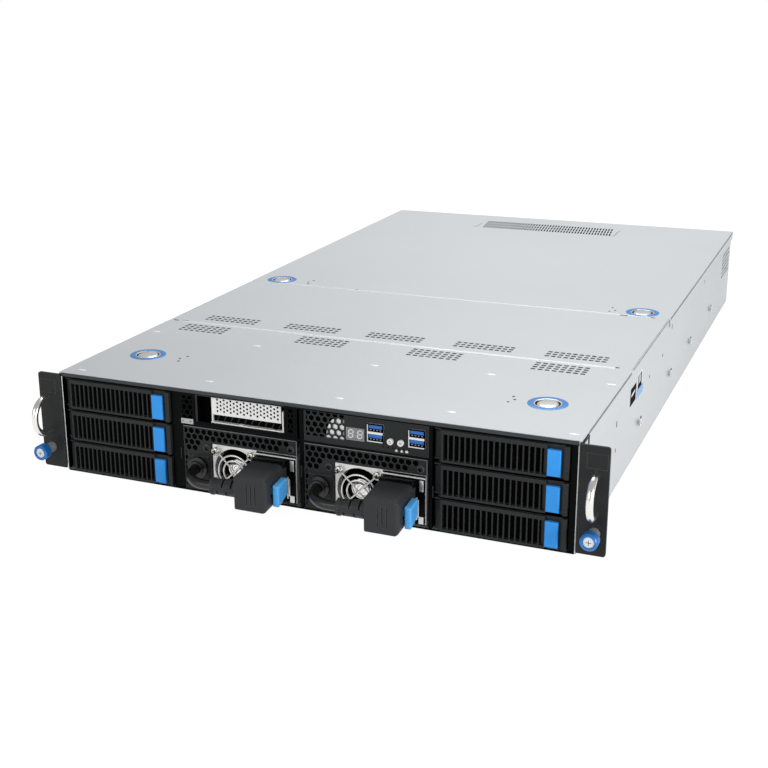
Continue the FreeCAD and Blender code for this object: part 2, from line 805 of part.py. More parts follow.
def make_rotor(hub, tip, depth, count, twist, name):
    """A fan wheel on the Y axis: a cup hub and its blades."""
    cup = Part.makeCylinder(hub, depth, FreeCAD.Vector(0, 0, 0), FreeCAD.Vector(0, 1, 0))
    return made(cup.fuse(blades(count, hub, tip, twist, depth)).removeSplitter(), name)


def make_finger_guard():
    """Wire rings on two crossing spokes, with a screw head at each of the four ears."""
    x, z = size("supply_fan_x"), size("supply_fan_z")
    axis = FreeCAD.Vector(0, 1, 0)
    middle = FreeCAD.Vector(x, -0.4, z)
    rings = [Part.makeTorus(r, 0.7, middle, axis) for r in (9.5, 14.0)]
    reach = 16.0
    spokes, screws = [], []
    for sx, sz in ((1, 1), (1, -1)):
        start = middle + FreeCAD.Vector(-sx * reach, 0.5, -sz * reach)
        spokes.append(Part.makeCylinder(0.7, 2 * reach * math.sqrt(2), start, FreeCAD.Vector(sx, 0, sz)))
    for sx in (-1, 1):
        for sz in (-1, 1):
            at = FreeCAD.Vector(x + sx * reach, -2.2, z + sz * reach)
            screws.append(Part.makeCylinder(3.3, 2.2, at, axis))
            screws.append(Part.makeCylinder(1.4, 4.2, at, axis))
    whole = rings[0].fuse(rings[1:] + spokes + screws)
    return made(whole, "finger_guard")


# The cord's route in the bay's own frame: straight out of the gland, round and down, into the relief.
CORD_ROUTE = [
    (13.5, -2.4, 22.0),
    (13.5, -11.4, 22.0),
    (17.2, -19.6, 20.9),
    (24.2, -24.6, 19.6),
    (32.5, -25.5, 18.9),
    (49.5, -25.5, 19.9),
]
RELIEF_END = (66.9, -25.5, 20.9)  # where the relief meets the plug's body
RELIEF_SETBACK = 8.0  # the relief starts this far along the last run


def round_tube(route, radius):
    """A tube along straight runs joined by tangent arcs, each arc as large as its runs allow."""
    points = [FreeCAD.Vector(*p) for p in route]
    edges, radii = [], []
    start = points[0]
    for before, at, after in zip(points, points[1:], points[2:]):
        into, out = (at - before), (after - at)
        turn = into.getAngle(out)
        reach = 0.45 * min(into.Length, out.Length)
        radii.append(reach / math.tan(turn / 2))
        first = at - into.normalize() * reach
        last = at + out.normalize() * reach
        inward = (last - at).normalize() + (first - at).normalize()
        middle = at + inward.normalize() * radii[-1] * (1 / math.cos(turn / 2) - 1)
        edges.append(Part.LineSegment(start, first).toShape())
        edges.append(Part.Arc(first, middle, last).toShape())
        start = last
    edges.append(Part.LineSegment(start, points[-1]).toShape())
    path = Part.Wire(edges)
    circle = Part.Circle(points[0], points[1] - points[0], radius).toShape()
    tube = path.makePipeShell([Part.Wire(circle)], True, False)
    ideal = math.pi * radius**2 * path.Length
    print(f"cord: length {path.Length:.1f} mm, radii {[round(r, 1) for r in radii]} mm")
    print(f"cord: volume against section times length {tube.Volume / ideal:.4f}")
    return tube


def make_power_cord():
    return made(round_tube(CORD_ROUTE, size("cord_radius")), "cord")


def leaning_block(x, lx, y0, y1, z0, z1, y_ref, slope):
    """A block whose top and bottom fall towards the front by a steady slope."""
    drop = lambda y: slope * (y - y_ref)
    return prism(
        [
            (x, y0, z0 + drop(y0)),
            (x, y1, z0 + drop(y1)),
            (x, y1, z1 + drop(y1)),
            (x, y0, z1 + drop(y0)),
        ],
        (lx, 0, 0),
    )


def softened(shape, radius, keep):
    """The shape with the edges that keep() names rounded."""
    return shape.makeFillet(radius, [edge for edge in shape.Edges if keep(edge.CenterOfMass)])


def make_plug():
    """The moulded plug: square body with grip grooves, nose in the inlet and a strain relief to the left."""
    x0 = size("inlet_x - plug_width / 2")
    width, height = size("plug_width"), size("plug_height")
    front, back = size("plug_front"), size("plug_back")
    slope = size("plug_droop") / (back - front)
    low = size("inlet_z - plug_height / 2")
    body = leaning_block(x0, width, front, back, low, low + height, back, slope)
    on_the_right = lambda c: c.x > x0 + width - 0.1 and c.y < back - 0.1
    body = softened(body, 3.6, on_the_right)
    body = softened(body, 1.4, lambda c: c.x < x0 + 0.1 or c.y < front + 0.1)
    nose = Part.makeBox(24, 24.5, 16, FreeCAD.Vector(size("inlet_x") - 12, back - 0.5, size("inlet_z") - 8))
    groove_z = low - size("plug_droop") + 5.6
    grooves = [
        Part.makeBox(1.1, 1.0, 17, FreeCAD.Vector(x0 + 10.6 + 3.7 * k, front - 0.1, groove_z))
        for k in range(3)
    ]
    pocket = Part.makeBox(4.4, 13.5, 9, FreeCAD.Vector(x0 + width - 4, -30.5, low + 7.5))
    turn, cord_end = FreeCAD.Vector(*CORD_ROUTE[-2]), FreeCAD.Vector(*CORD_ROUTE[-1])
    unit = (cord_end - turn).normalize()
    start = turn + unit * RELIEF_SETBACK
    along = FreeCAD.Vector(*RELIEF_END) - start
    relief = Part.makeCone(6.1, 7.3, along.Length, start, unit)
    collar = Part.makeCylinder(6.9, 2.0, start, unit)
    rings = []
    for step, upper in ((5.6, 0), (14.0, 0), (22.4, 0), (10.6, 1), (18.7, 1)):
        # open half rings, above and below by turns, that let the relief flex
        at = start + unit * step
        ring = Part.makeCylinder(9, 2.0, at, unit).cut(Part.makeCylinder(5.0, 2.0, at, unit))
        bottom = at.z - 20 if upper else at.z - 1.5
        rings.append(ring.cut(Part.makeBox(5, 20, 21.5, FreeCAD.Vector(at.x - 1, at.y - 10, bottom))))
    bore_radius = size("cord_radius") + 0.02
    bore = Part.makeCylinder(bore_radius, (cord_end - start).Length + 0.02, start, unit)
    whole = body.fuse([nose, relief, collar]).cut(Part.makeCompound(grooves + rings + [pocket, bore]))
    return made(whole.removeSplitter(), "plug")


def make_lock_tab():
    """The ribbed blue tab on the plug's right side; pulling it back frees the plug."""
    x0 = size("inlet_x + plug_width / 2") + 1.2
    corners = [(-30.5, 11.8), (-14.5, 17.2), (-14.5, 30.8), (-30.5, 29.2)]
    slab = prism([(x0, y, z) for y, z in corners], (5.2, 0, 0))
    slab = softened(slab, 1.2, lambda c: c.x > x0 + 5.1 or c.y < -30.4)
    ribs = [
        Part.makeBox(1, 0.9, 9.6, FreeCAD.Vector(x0 + 4.8, -27.5 + 2.6 * k, 16.6 + 0.9 * k))
        for k in range(4)
    ]
    stem = Part.makeBox(4.2, 8, 6, FreeCAD.Vector(x0 - 3.8, -26.6, 20.6))
    return made(slab.cut(Part.makeCompound(ribs)).fuse(stem), "lock_tab")


# ---------------------------------------------------------------- control panel


def make_io_fascia():
    """The panel over the right-hand bay, with openings for display, sockets, buttons and lamps."""
    panel = box("io_x", "front_y + 1.2", "io_bottom", "io_width", 1.2, "io_height - 0.4")
    x0 = size("io_x")
    tools = [
        box("io_x + 35.5", "front_y", 63.4, 15.4, 4, 10.4),
        box("io_x + 53.0", "front_y", 64.3, 13.7, 4, 15.1),
        box("io_x + 86.3", "front_y", 64.1, 13.7, 4, 15.1),
    ]
    tools += [rod(f"io_x + {x}", "front_y", 66.8, "button_radius + 0.15", 9) for x in BUTTON_X]
    lamps = [
        Part.makeCylinder(0.75, 6, FreeCAD.Vector(x0 + x, FRONT - 1, 61.5), FreeCAD.Vector(0, 1, 0))
        for x in (65.6, 70.0, 74.0, 78.2, 82.5, 86.4)
    ]
    comb = [
        hexagon(x0 + 0.85 + 2.83 * i, 81.65 - 4.75 * j, 2.45, FRONT - 1, 6)
        for j in range(5)
        for i in range(14)
        if (i + j) % 2 == 1
    ]
    field = Part.makeBox(32.4, 20, 20.0, FreeCAD.Vector(x0 + 1.5, FRONT - 5, 62.4))
    cells = [Part.makeCompound(comb).common(field)]
    guides = [rod(f"io_x + {x}", "front_y + 2.2", 66.8, 4.2, 5) for x in BUTTON_X]
    flange = box("io_x", "front_y + 1.2", "io_bottom", "io_width", 10, 0.9)
    body = fuse(panel, flange, *guides, name="io_body")
    return cut(body, *tools, made(Part.makeCompound(lamps + cells), "io_cells"), name="io_panel")


BUTTON_X = (72.1, 80.4)


def make_button():
    """A round button with a stop collar behind its guide."""
    return fuse(
        rod(0, -0.9, 0, "button_radius", 10, name="button_pin"),
        rod(0, 8.3, 0, 3.6, 1.2, name="button_collar"),
        name="button",
    )


def make_display():
    """A two-digit status display set in the panel: a frame round a sunken face."""
    case = box("io_x + 35.7", "front_y + 0.7", 63.6, 15.0, 7, 10.0)
    face = box("io_x + 36.7", "front_y", 64.6, 13.0, 1.5, 8.0)
    return cut(case, face, name="display")


def make_data_ports():
    """Two stacked pairs of sockets: a folded shell and two tongues each."""
    stacks = []
    for x in (53.15, 86.45):
        shell = box(f"io_x + {x}", "front_y + 0.4", 64.45, 13.4, 17, 14.6)
        rooms = [box(f"io_x + {x} + 0.6", "front_y", z, 12.2, 14, 5.6) for z in (65.2, 72.6)]
        tongues = [box(f"io_x + {x} + 1.4", "front_y + 2.6", z, 10.6, 13, 1.8) for z in (68.2, 75.6)]
        stacks.append(fuse(cut(shell, *rooms, name="port_shell"), *tongues, name="port_stack"))
    return group(stacks, "ports")


# ---------------------------------------------------------------- inside


def make_fan_frame():
    """One chassis fan's square frame: an open duct with the motor's seat on four struts."""
    block = box("-fan_size / 2", 0, 0, "fan_size", "fan_depth", "fan_size")
    duct = rod(0, -1, "fan_size / 2", 37.5, "fan_depth + 2", name="duct")
    seat = rod(0, "fan_depth - 5", "fan_size / 2", 17, 5, name="motor_seat")
    struts = [
        box("-38.5", "fan_depth - 3", "fan_size / 2 - 1.5", 77, 3, 3),
        box("-1.5", "fan_depth - 3", "fan_size / 2 - 38.5", 3, 3, 77),
    ]
    return fuse(cut(block, duct, name="fan_block"), seat, *struts, name="fan_frame")


def fan_places():
    return [f"fan_pitch * {k}" for k in (-1.5, -0.5, 0.5, 1.5)]


def make_fan_frames():
    """Four frames joined by a sheet-steel wall, so that the whole row stands on the floor."""
    frames = [placed(make_fan_frame(), x, "front_y + fan_y", "steel") for x in fan_places()]
    wall = box("-fan_pitch * 2", "front_y + fan_y + 10", "steel", "fan_pitch * 4", 1.2, 70)
    windows = [
        box(f"{x} - fan_size / 2", "front_y + fan_y + 5", 0, "fan_size", 10, 120) for x in fan_places()
    ]
    return group(frames + [cut(wall, *windows, name="fan_wall")], "fans")


def make_motherboard():
    board = box("-board_width / 2", "front_y + board_y", 7.0, "board_width", "board_depth", 1.6)
    feet = [
        rod(f"{sx} * (board_width / 2 - 12)", f"front_y + board_y + {y}", "steel", 3, 6.2, along="z")
        for sx in (-1, 1)
        for y in (12, 165, 318)
    ]
    slots_row = [
        box(x, "front_y + board_y + 30", 8.4, 6.4, 140, 12)
        for x in (-160, -149, -26, -15, 9, 20, 143, 154)
    ]
    risers = [box(x, "front_y + board_y + 235", 8.4, 8, 85, 11) for x in (-110, -60, 60, 110)]
    return fuse(board, *feet, *slots_row, *risers, name="board")


def make_heatsinks():
    """Two finned processor coolers, each one block of fins on a base plate."""
    coolers = []
    for x in (-125, 41):
        base = box(x, "front_y + board_y + 46", 12, 80, 108, 6)
        seat = box(x + 12, "front_y + board_y + 66", 8.6, 56, 70, 3.5)
        fins = [box(x + 5.4 * k, "front_y + board_y + 46", 17.5, 1.4, 108, 44) for k in range(15)]
        coolers.append(fuse(base, seat, *fins, name="cooler"))
    return group(coolers, "coolers")


def make_backplanes():
    """The boards behind each column of trays, with a socket for each drive."""
    boards = []
    back = "front_y + tray_depth"
    floors = [f"tray_bottom + tray_pitch * {row}" for row in range(3)]
    for x in ("left_tray_x", "right_tray_x"):
        board = box(f"{x} + 2", f"{back} + 4", 1.6, "tray_width - 4", 1.8, 80)
        sockets = [box(f"{x} + 30", f"{back} + 1.2", f"{floor} + 11.5", 42, 4, 6) for floor in floors]
        windows = [box(f"{x} + 12", back, f"{floor} + 19.2", 80, 9, 5.5) for floor in floors]
        boards.append(cut(fuse(board, *sockets, name="backplane"), *windows, name="vented_backplane"))
    return group(boards, "backplanes")


def make_rear_inlets():
    """Two mains inlets in the rear wall, each a flanged socket with three blades."""
    inlets = []
    rear = "front_y + chassis_depth"
    for x in (-172, 172):
        flange = box(x - 25, rear, 18, 50, 2.2, 31.6)
        barrel = box(x - 14, f"{rear} - 24", 22.5, 28, 25, 21)
        room = box(x - 12.2, f"{rear} - 18", 24.5, 24.4, 30, 17)
        contacts = [box(x + dx, f"{rear} - 20", z, 2, 14, 5) for dx, z in ((-8, 31), (-1, 35), (6, 31))]
        shell = cut(fuse(flange, barrel, name="socket"), room, name="socket_shell")
        inlets.append(fuse(shell, *contacts, name="inlet"))
    return group(inlets, "inlets")


# ---------------------------------------------------------------- assembly

node("base_pan", make_base_pan())
node("front_cover", make_front_cover())
node("middle_bridge", make_middle_bridge())
node("rear_cover", make_rear_cover())

latch = make_cover_latch()
for cover in ("front", "rear"):
    for side, sign in (("left", "-"), ("right", "")):
        x, y = f"{sign}{cover}_latch_x", f"front_y + {cover}_latch_y"
        node(f"{cover}_{side}_latch", placed(latch, x, y, "chassis_height", name="latch_at"))

ear = make_ear()
node("left_ear", ear)
node("right_ear", mirrored(ear, "ear_on_the_right"))
node("ear_handles", group([make_handle(-1), make_handle(1)], "handles"))
node("left_thumbscrew", make_thumbscrew(-1))
node("right_thumbscrew", make_thumbscrew(1))

node("front_frame", make_front_frame())
node("slot_bracket", make_slot_bracket())
node("io_fascia", make_io_fascia())
node("status_display", make_display())
node("data_ports", make_data_ports())
button = make_button()
for name, x in zip(("power_button", "id_button"), BUTTON_X):
    node(name, placed(button, f"io_x + {x}", "front_y", 66.8, name="button_at"))

carrier, lever, tab = make_tray_carrier(), make_tray_lever(), make_release_tab()
for side in ("left", "right"):
    for row, level in enumerate(("bottom", "middle", "top")):
        for piece, source in (("carrier", carrier), ("lever", lever), ("release_tab", tab)):
            z = f"tray_bottom + tray_pitch * {row}"
            place = placed(source, f"{side}_tray_x", "front_y", z, name="tray_at")
            node(f"{side}_{level}_tray_{piece}", place)

BAYS = (("left", "left_bay_x"), ("right", "left_bay_x + bay_pitch"))
case, rotor = make_psu_case(), make_rotor(10.5, 17.6, 10, 7, 38, "supply_rotor")
cord, plug, lock_tab = make_power_cord(), make_plug(), make_lock_tab()
for side, x in BAYS:
    node(f"{side}_psu_case", placed(case, x, "front_y", 0, name="case_at"))
    node(
        f"{side}_psu_fan_rotor",
        placed(rotor, f"{x} + supply_fan_x", "front_y + 6", "supply_fan_z", name="rotor_at"),
    )
    node(f"{side}_power_cord", placed(cord, x, "front_y", 0, name="cord_at"))
    node(f"{side}_plug", placed(plug, x, "front_y", 0, name="plug_at"))
    node(f"{side}_plug_lock_tab", placed(lock_tab, x, "front_y", 0, name="lock_at"))

for label, source in (
    ("psu_fascias", make_psu_fascia()),
    ("cord_glands", make_cord_gland()),
    ("psu_finger_guards", make_finger_guard()),
):
    node(label, group([placed(source, x, "front_y", 0, name="bay_at") for side, x in BAYS], label + "_pair"))

node("fan_frames", make_fan_frames())
chassis_rotor = make_rotor(16.0, 36.3, 26, 7, 44, "chassis_rotor")
for number, x in enumerate(fan_places(), start=1):
    node(
        f"fan_rotor_{number}",
        placed(chassis_rotor, x, "front_y + fan_y + 4", "steel + fan_size / 2", name="rotor_at"),
    )
node("motherboard", make_motherboard())
node("heatsinks", make_heatsinks())
node("drive_backplanes", make_backplanes())
node("rear_power_inlets", make_rear_inlets())

# ---------------------------------------------------------------- checks and export

doc.recompute()

faults = [f"{obj.Name} {obj.State}" for obj in doc.Objects if {"Invalid", "Error"} & set(obj.State)]
for label, obj in NODES.items():
    if obj.Shape.isNull() or not obj.Shape.isValid() or not obj.Shape.Solids:
        faults.append(f"{label} has no valid solid")
if faults:
    raise RuntimeError("; ".join(faults))

os.makedirs("parts", exist_ok=True)
for label, obj in NODES.items():
    solids = obj.Shape.Solids
    shape = solids[0] if len(solids) == 1 else Part.makeCompound(solids)
    shape.exportStep(f"parts/{label}.step")
loose = {label: len(obj.Shape.Solids) for label, obj in NODES.items() if len(obj.Shape.Solids) > 1}
print("nodes of several solids:", loose)
whole = Part.makeCompound([obj.Shape for obj in NODES.values()]).BoundBox
print(f"{len(NODES)} nodes, {whole.XLength:.1f} x {whole.YLength:.1f} x {whole.ZLength:.1f} mm")
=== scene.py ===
# %% [markdown]
# # Dressing a 2U rack server
# The construction comes in as a fixed frame of named nodes. This lesson gives each node its real finish
# and adds what sheet metal and moulding add in a factory: rings, lips, screws, seams, cords and boards.

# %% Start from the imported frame
import math

import bmesh
import bpy
from mathutils import Matrix, Vector


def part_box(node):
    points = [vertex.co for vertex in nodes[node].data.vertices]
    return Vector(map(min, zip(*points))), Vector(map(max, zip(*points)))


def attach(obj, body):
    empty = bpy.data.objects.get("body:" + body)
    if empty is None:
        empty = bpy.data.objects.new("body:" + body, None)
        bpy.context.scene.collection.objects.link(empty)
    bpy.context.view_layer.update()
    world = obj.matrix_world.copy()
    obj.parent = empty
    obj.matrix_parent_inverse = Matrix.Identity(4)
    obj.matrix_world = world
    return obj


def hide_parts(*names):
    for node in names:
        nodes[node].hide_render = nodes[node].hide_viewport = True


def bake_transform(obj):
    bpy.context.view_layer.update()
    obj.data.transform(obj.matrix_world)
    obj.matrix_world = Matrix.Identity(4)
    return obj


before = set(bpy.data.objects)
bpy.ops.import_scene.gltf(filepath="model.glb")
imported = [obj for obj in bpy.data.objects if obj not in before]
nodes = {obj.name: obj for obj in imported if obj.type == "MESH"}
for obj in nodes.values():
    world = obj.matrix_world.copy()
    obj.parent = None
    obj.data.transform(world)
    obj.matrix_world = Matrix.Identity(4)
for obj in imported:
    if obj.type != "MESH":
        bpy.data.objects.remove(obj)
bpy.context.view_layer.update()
scene = bpy.context.scene
MM = 0.001
SIDES = ("left", "right")
SIDE_SIGNS = (("left", -1), ("right", 1))
COVERS = ("front", "rear")
LEVELS = ("bottom", "middle", "top")

# %% [markdown]
# Every place below is measured from a few edges of the frame: the covers' front edge, the top of the
# covers, each tray's left edge and each power supply bay's left edge. `at` turns millimetres behind the
# front edge into the frame's metres, so the numbers stay the ones a drawing would give.

# %% Edges that the other places are measured from
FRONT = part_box("front_cover")[0].y / MM
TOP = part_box("front_cover")[1].z / MM
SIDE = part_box("front_cover")[1].x / MM
TRAY_GAP, TRAY_PLAY, CASE_INSET = 1.2, 0.2, 26.0
TRAY_LEFT = {side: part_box(f"{side}_bottom_tray_carrier")[0].x / MM - TRAY_GAP for side in SIDES}
TRAY_FLOOR = {level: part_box(f"left_{level}_tray_carrier")[0].z / MM - TRAY_PLAY for level in LEVELS}
BAY_LEFT = {side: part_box(f"{side}_psu_case")[0].x / MM - CASE_INSET for side in SIDES}
PANEL_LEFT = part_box("io_fascia")[0].x / MM


def at(x, y, z):
    """A point from millimetres: x from the middle, y behind the front edge, z above the ground."""
    return Vector((x, FRONT + y, z)) * MM


print("front", round(FRONT, 1), "top", round(TOP, 1), "trays", TRAY_LEFT, "bays", BAY_LEFT)

# %% [markdown]
# ## Finishes
# A shader is a small graph. `lay` adds one node to it: its settings, and for each input a value or the
# socket that feeds it. `srgb` turns a colour as a paint chart writes it into the linear light that the
# renderer works in.


# %% Two helpers for every finish
def srgb(text):
    """A colour such as #C8CED2 as opaque linear light."""
    parts = [int(text[k : k + 2], 16) / 255 for k in (1, 3, 5)]
    return [p / 12.92 if p <= 0.04045 else ((p + 0.055) / 1.055) ** 2.4 for p in parts] + [1.0]


def lay(tree, kind, settings=None, **inputs):
    """Adds a shader node. An input is its name, with an underscore for a space, or i and its number."""
    made = tree.nodes.new(kind)
    for name, value in (settings or {}).items():
        setattr(made, name, value)
    for name, value in inputs.items():
        numbered = name[0] == "i" and name[1:].isdigit()
        socket = made.inputs[int(name[1:]) if numbered else name.replace("_", " ")]
        if isinstance(value, bpy.types.NodeSocket):
            tree.links.new(value, socket)
        else:
            socket.default_value = value
    return made


# %% [markdown]
# Most finishes here are the same recipe with other numbers: a colour that drifts a little over the
# surface, a grain that roughens it, and an edge radius. Real folded steel and moulded plastic have no
# knife edges, so a Bevel node rounds the light on every corner without touching the mesh. Where that
# rounded normal turns away from the flat one there is an edge, and the coatings that name an edge colour
# are painted paler there: a painted highlight along every edge.


# %% The recipe for a finish
def finish(
    name, colour, drift=None, drift_size=60.0, metallic=0.0, roughness=0.5, grain_size=0.5, grain=0.1,
    stretch=(1, 1, 1), edge=0.3, worn=None, **sockets,
):
    """A material: sizes in millimetres, grain as bump strength, drift as a further colour, and a paler colour
    painted on the edges as a painted highlight.
    """
    made = bpy.data.materials.new(name)
    made.use_nodes = True
    tree = made.node_tree
    shader = tree.nodes["Principled BSDF"]
    place = lay(tree, "ShaderNodeTexCoord").outputs["Object"]
    corner = lay(tree, "ShaderNodeBevel", {"samples": 4}, Radius=edge * MM)
    base = srgb(colour)
    if drift:
        patches = 1 / (drift_size * MM)
        cloud = lay(tree, "ShaderNodeTexNoise", Vector=place, Scale=patches, Detail=3.0).outputs["Fac"]
        base = lay(tree, "ShaderNodeMix", {"data_type": "RGBA"}, i0=cloud, i6=base, i7=srgb(drift)).outputs[2]
    # Painted highlight: near every edge the colour is mixed towards a paler one.
    if worn:
        flat = lay(tree, "ShaderNodeNewGeometry").outputs["Normal"]
        agree = {"operation": "DOT_PRODUCT"}
        facing = lay(tree, "ShaderNodeVectorMath", agree, i0=corner.outputs[0], i1=flat).outputs["Value"]
        rim = lay(tree, "ShaderNodeMapRange", Value=facing, From_Min=0.99, From_Max=0.85).outputs[0]
        base = lay(tree, "ShaderNodeMix", {"data_type": "RGBA"}, i0=rim, i6=base, i7=srgb(worn)).outputs[2]
    if drift or worn:
        tree.links.new(base, shader.inputs["Base Color"])
    else:
        shader.inputs["Base Color"].default_value = base
    pulled = lay(tree, "ShaderNodeMapping", Vector=place, Scale=stretch).outputs[0]
    noise = lay(tree, "ShaderNodeTexNoise", Vector=pulled, Scale=1 / (grain_size * MM), Detail=2.0)
    low, high = roughness * 0.85, min(1.0, roughness * 1.15)
    rough = lay(tree, "ShaderNodeMapRange", Value=noise.outputs["Fac"], To_Min=low, To_Max=high)
    tree.links.new(rough.outputs[0], shader.inputs["Roughness"])
    relief = {"Strength": grain, "Distance": 0.05 * MM}
    bump = lay(tree, "ShaderNodeBump", Height=noise.outputs["Fac"], Normal=corner.outputs[0], **relief)
    tree.links.new(bump.outputs[0], shader.inputs["Normal"])
    shader.inputs["Metallic"].default_value = metallic
    for socket, value in sockets.items():
        shader.inputs[socket.replace("_", " ")].default_value = value
    return made


# %% [markdown]
# ### Steel
# The covers and the pan are cold-rolled sheet, electro-galvanised: a thin zinc coat with a pale, almost
# chalky grey and a faint drift from cool to warm. It mirrors nothing clearly, so it is only part metal
# with a broad gloss. Handles and guards are nickel on steel. The handles are satin, and the thin wires of
# the guards are given less metal, so that they read bright against the dark fan.

# %% Steel finishes
zinc = finish("electro_galvanised_sheet", "#C6CBCF", "#CFD3D4", 140, 0.35, 0.42, 1.2, 0.06, (1, 0.12, 1), 0.4)
nickel = finish("bright_nickel_plate", "#ECEBE8", "#DEDDD9", 18, 1.0, 0.12, 2.0, 0.03)
handle_nickel = finish("satin_nickel_handle", "#F4F3EF", "#E8E6E1", 18, 1.0, 0.24, 2.0, 0.03)
guard_nickel = finish("nickel_plated_wire", "#F2F2F0", "#E6E6E4", 18, 0.6, 0.2, 2.0, 0.03)
bracket_steel = finish("nickel_plated_bracket", "#F6F6F5", "#ECECEB", 25, 0.3, 0.36, 0.8, 0.05)
screw_steel = finish("passivated_screw_steel", "#C9C8C2", "#A9A69C", 3, 1.0, 0.25, 0.5, 0.06, edge=0.15)
turned_steel = finish("turned_stainless", "#E9E8E7", "#D9D8D7", 30, 0.75, 0.3, 0.7, 0.05)
ring_blue = finish("blue_anodised_ring", "#4A8FD2", "#3F82C4", 9, 0.3, 0.38, 0.5, 0.05)
fin_aluminium = finish("extruded_aluminium", "#C4C7C9", "#B4B8BB", 20, 0.8, 0.35, 1.0, 0.08, (1, 0.1, 1), 0.1)
contact_grey = finish("tinned_spring_contacts", "#A9ABAE", None, 1, 0.6, 0.35, 0.4, 0.03, edge=0.05)

# %% [markdown]
# ### Black finishes
# Four different blacks sit side by side at the front. Powder coat on the steel ears and panels has a fine
# orange peel. The trays are moulded ABS with a spark-eroded grain. The plugs are soft PVC, a warmer dark
# grey that hardly shines, and the cords are the same PVC drawn smooth, so they carry a clear highlight.

# %% Black finishes
DULL = {"Specular_IOR_Level": 0.25}
# The sets below that name an edge colour paint it along the edges as a painted highlight.
COAT = {"edge": 0.35, "worn": "#66686A", **DULL}
MOULDING = {"edge": 0.3, "worn": "#4C4D4E", **DULL}
PLATED = {"edge": 0.3, "worn": "#2C2E30", "Specular_IOR_Level": 0.06}
SOFT = {"edge": 0.6, "worn": "#6A6B6D", **DULL}
UNLIT = {"edge": 0.2, "Specular_IOR_Level": 0.03}
powder_black = finish("black_powder_coat", "#222324", "#1D1E1F", 12, 0.0, 0.45, 0.7, 0.35, **COAT)
tray_black = finish("black_abs_moulding", "#292A2B", "#242526", 10, 0.0, 0.5, 0.35, 0.3, **MOULDING)
# This black is the real colour of the black steel parts, and painted shade in the seam notches, the studs'
# drillings and the wall's holes.
black_steel_and_painted_shade = finish("black_zinc_steel_and_painted_shade", "#050607", "#030404", 12, 0.0, 0.4, 0.8, 0.2, **PLATED)
plug_grey = finish("dark_grey_pvc_moulding", "#353638", "#303133", 9, 0.0, 0.5, 0.45, 0.3, **SOFT)
cord_black = finish("black_pvc_jacket", "#0E0F10", "#0B0C0D", 8, 0.0, 0.34, 0.6, 0.12, edge=0.2)
# This black is the real colour of black plastic parts, and painted shade where sheets, pads and bars fill
# holes, slots, recesses and mouths.
painted_shade_and_plastic_black = finish("black_plastic_and_painted_shade", "#040405", "#020203", 6, 0.0, 0.7, 0.8, 0.3, **UNLIT)

# %% [markdown]
# ### Colour accents
# Blue marks everything that a technician may touch: release tabs, plug locks, screw heads. It is a bright
# dyed ABS with a low sheen. Sockets use the deeper blue of fast data ports.

# %% Coloured finishes
tab_blue = finish("blue_abs_touch_point", "#40A8FF", "#379FF8", 8, 0.0, 0.42, 0.4, 0.2, edge=0.5, **DULL)
# The knob's edges are painted a paler blue, a painted highlight.
KNOB_EDGE_HIGHLIGHT = {"edge": 0.2, "worn": "#5BB0EE"}
knob_blue = finish("blue_anodised_knob", "#2A7CCB", "#2270BD", 5, 0.3, 0.35, 0.4, 0.12, **KNOB_EDGE_HIGHLIGHT)
# The plug locks are a real blue, set paler than the tabs' as painted light, because their faces turn away
# from the lamps.
lit_lock_blue = finish("blue_pom_lock_tab", "#62BCFF", "#58B4FA", 8, 0.0, 0.4, 0.4, 0.2, edge=0.4, **DULL)
tongue_blue = finish("blue_socket_tongue", "#2470C8", "#1F68BC", 4, 0.0, 0.4, 0.4, 0.1, edge=0.1)
button_white = finish("white_abs_button", "#F8F8F8", "#F1F1F2", 2, 0.0, 0.35, 0.4, 0.08, edge=0.3)
display_grey = finish("grey_display_face", "#8D8F91", "#868889", 4, 0.0, 0.3, 0.5, 0.06, edge=0.15)
segment_pale = finish("unlit_display_segment", "#E8E9E9", "#E0E1E1", 2, 0.0, 0.35, 0.4, 0.05, edge=0.05)
edge_highlight_grey = finish("painted_highlight_grey_edge", "#85878A", "#6C6E71", 6, 0.2, 0.4, 0.5, 0.1, edge=0.1)
label_grey = finish("brushed_label_plate", "#C4C5C6", "#A9AAAB", 3, 0.3, 0.4, 0.5, 0.1, edge=0.15)
board_green = finish("green_solder_mask", "#1E5A38", "#1A5033", 7, 0.0, 0.35, 1.5, 0.3, edge=0.15)
slot_beige = finish("ivory_nylon_socket", "#D8D2BE", "#CFC9B4", 12, 0.0, 0.5, 0.5, 0.1, edge=0.2)
print("materials", len(bpy.data.materials))

# %% [markdown]
# ## Giving the frame its finishes
# A node keeps its mesh and swaps the material in its first slot. The table reads like a bill of
# materials: finish on the left, the nodes that carry it on the right.

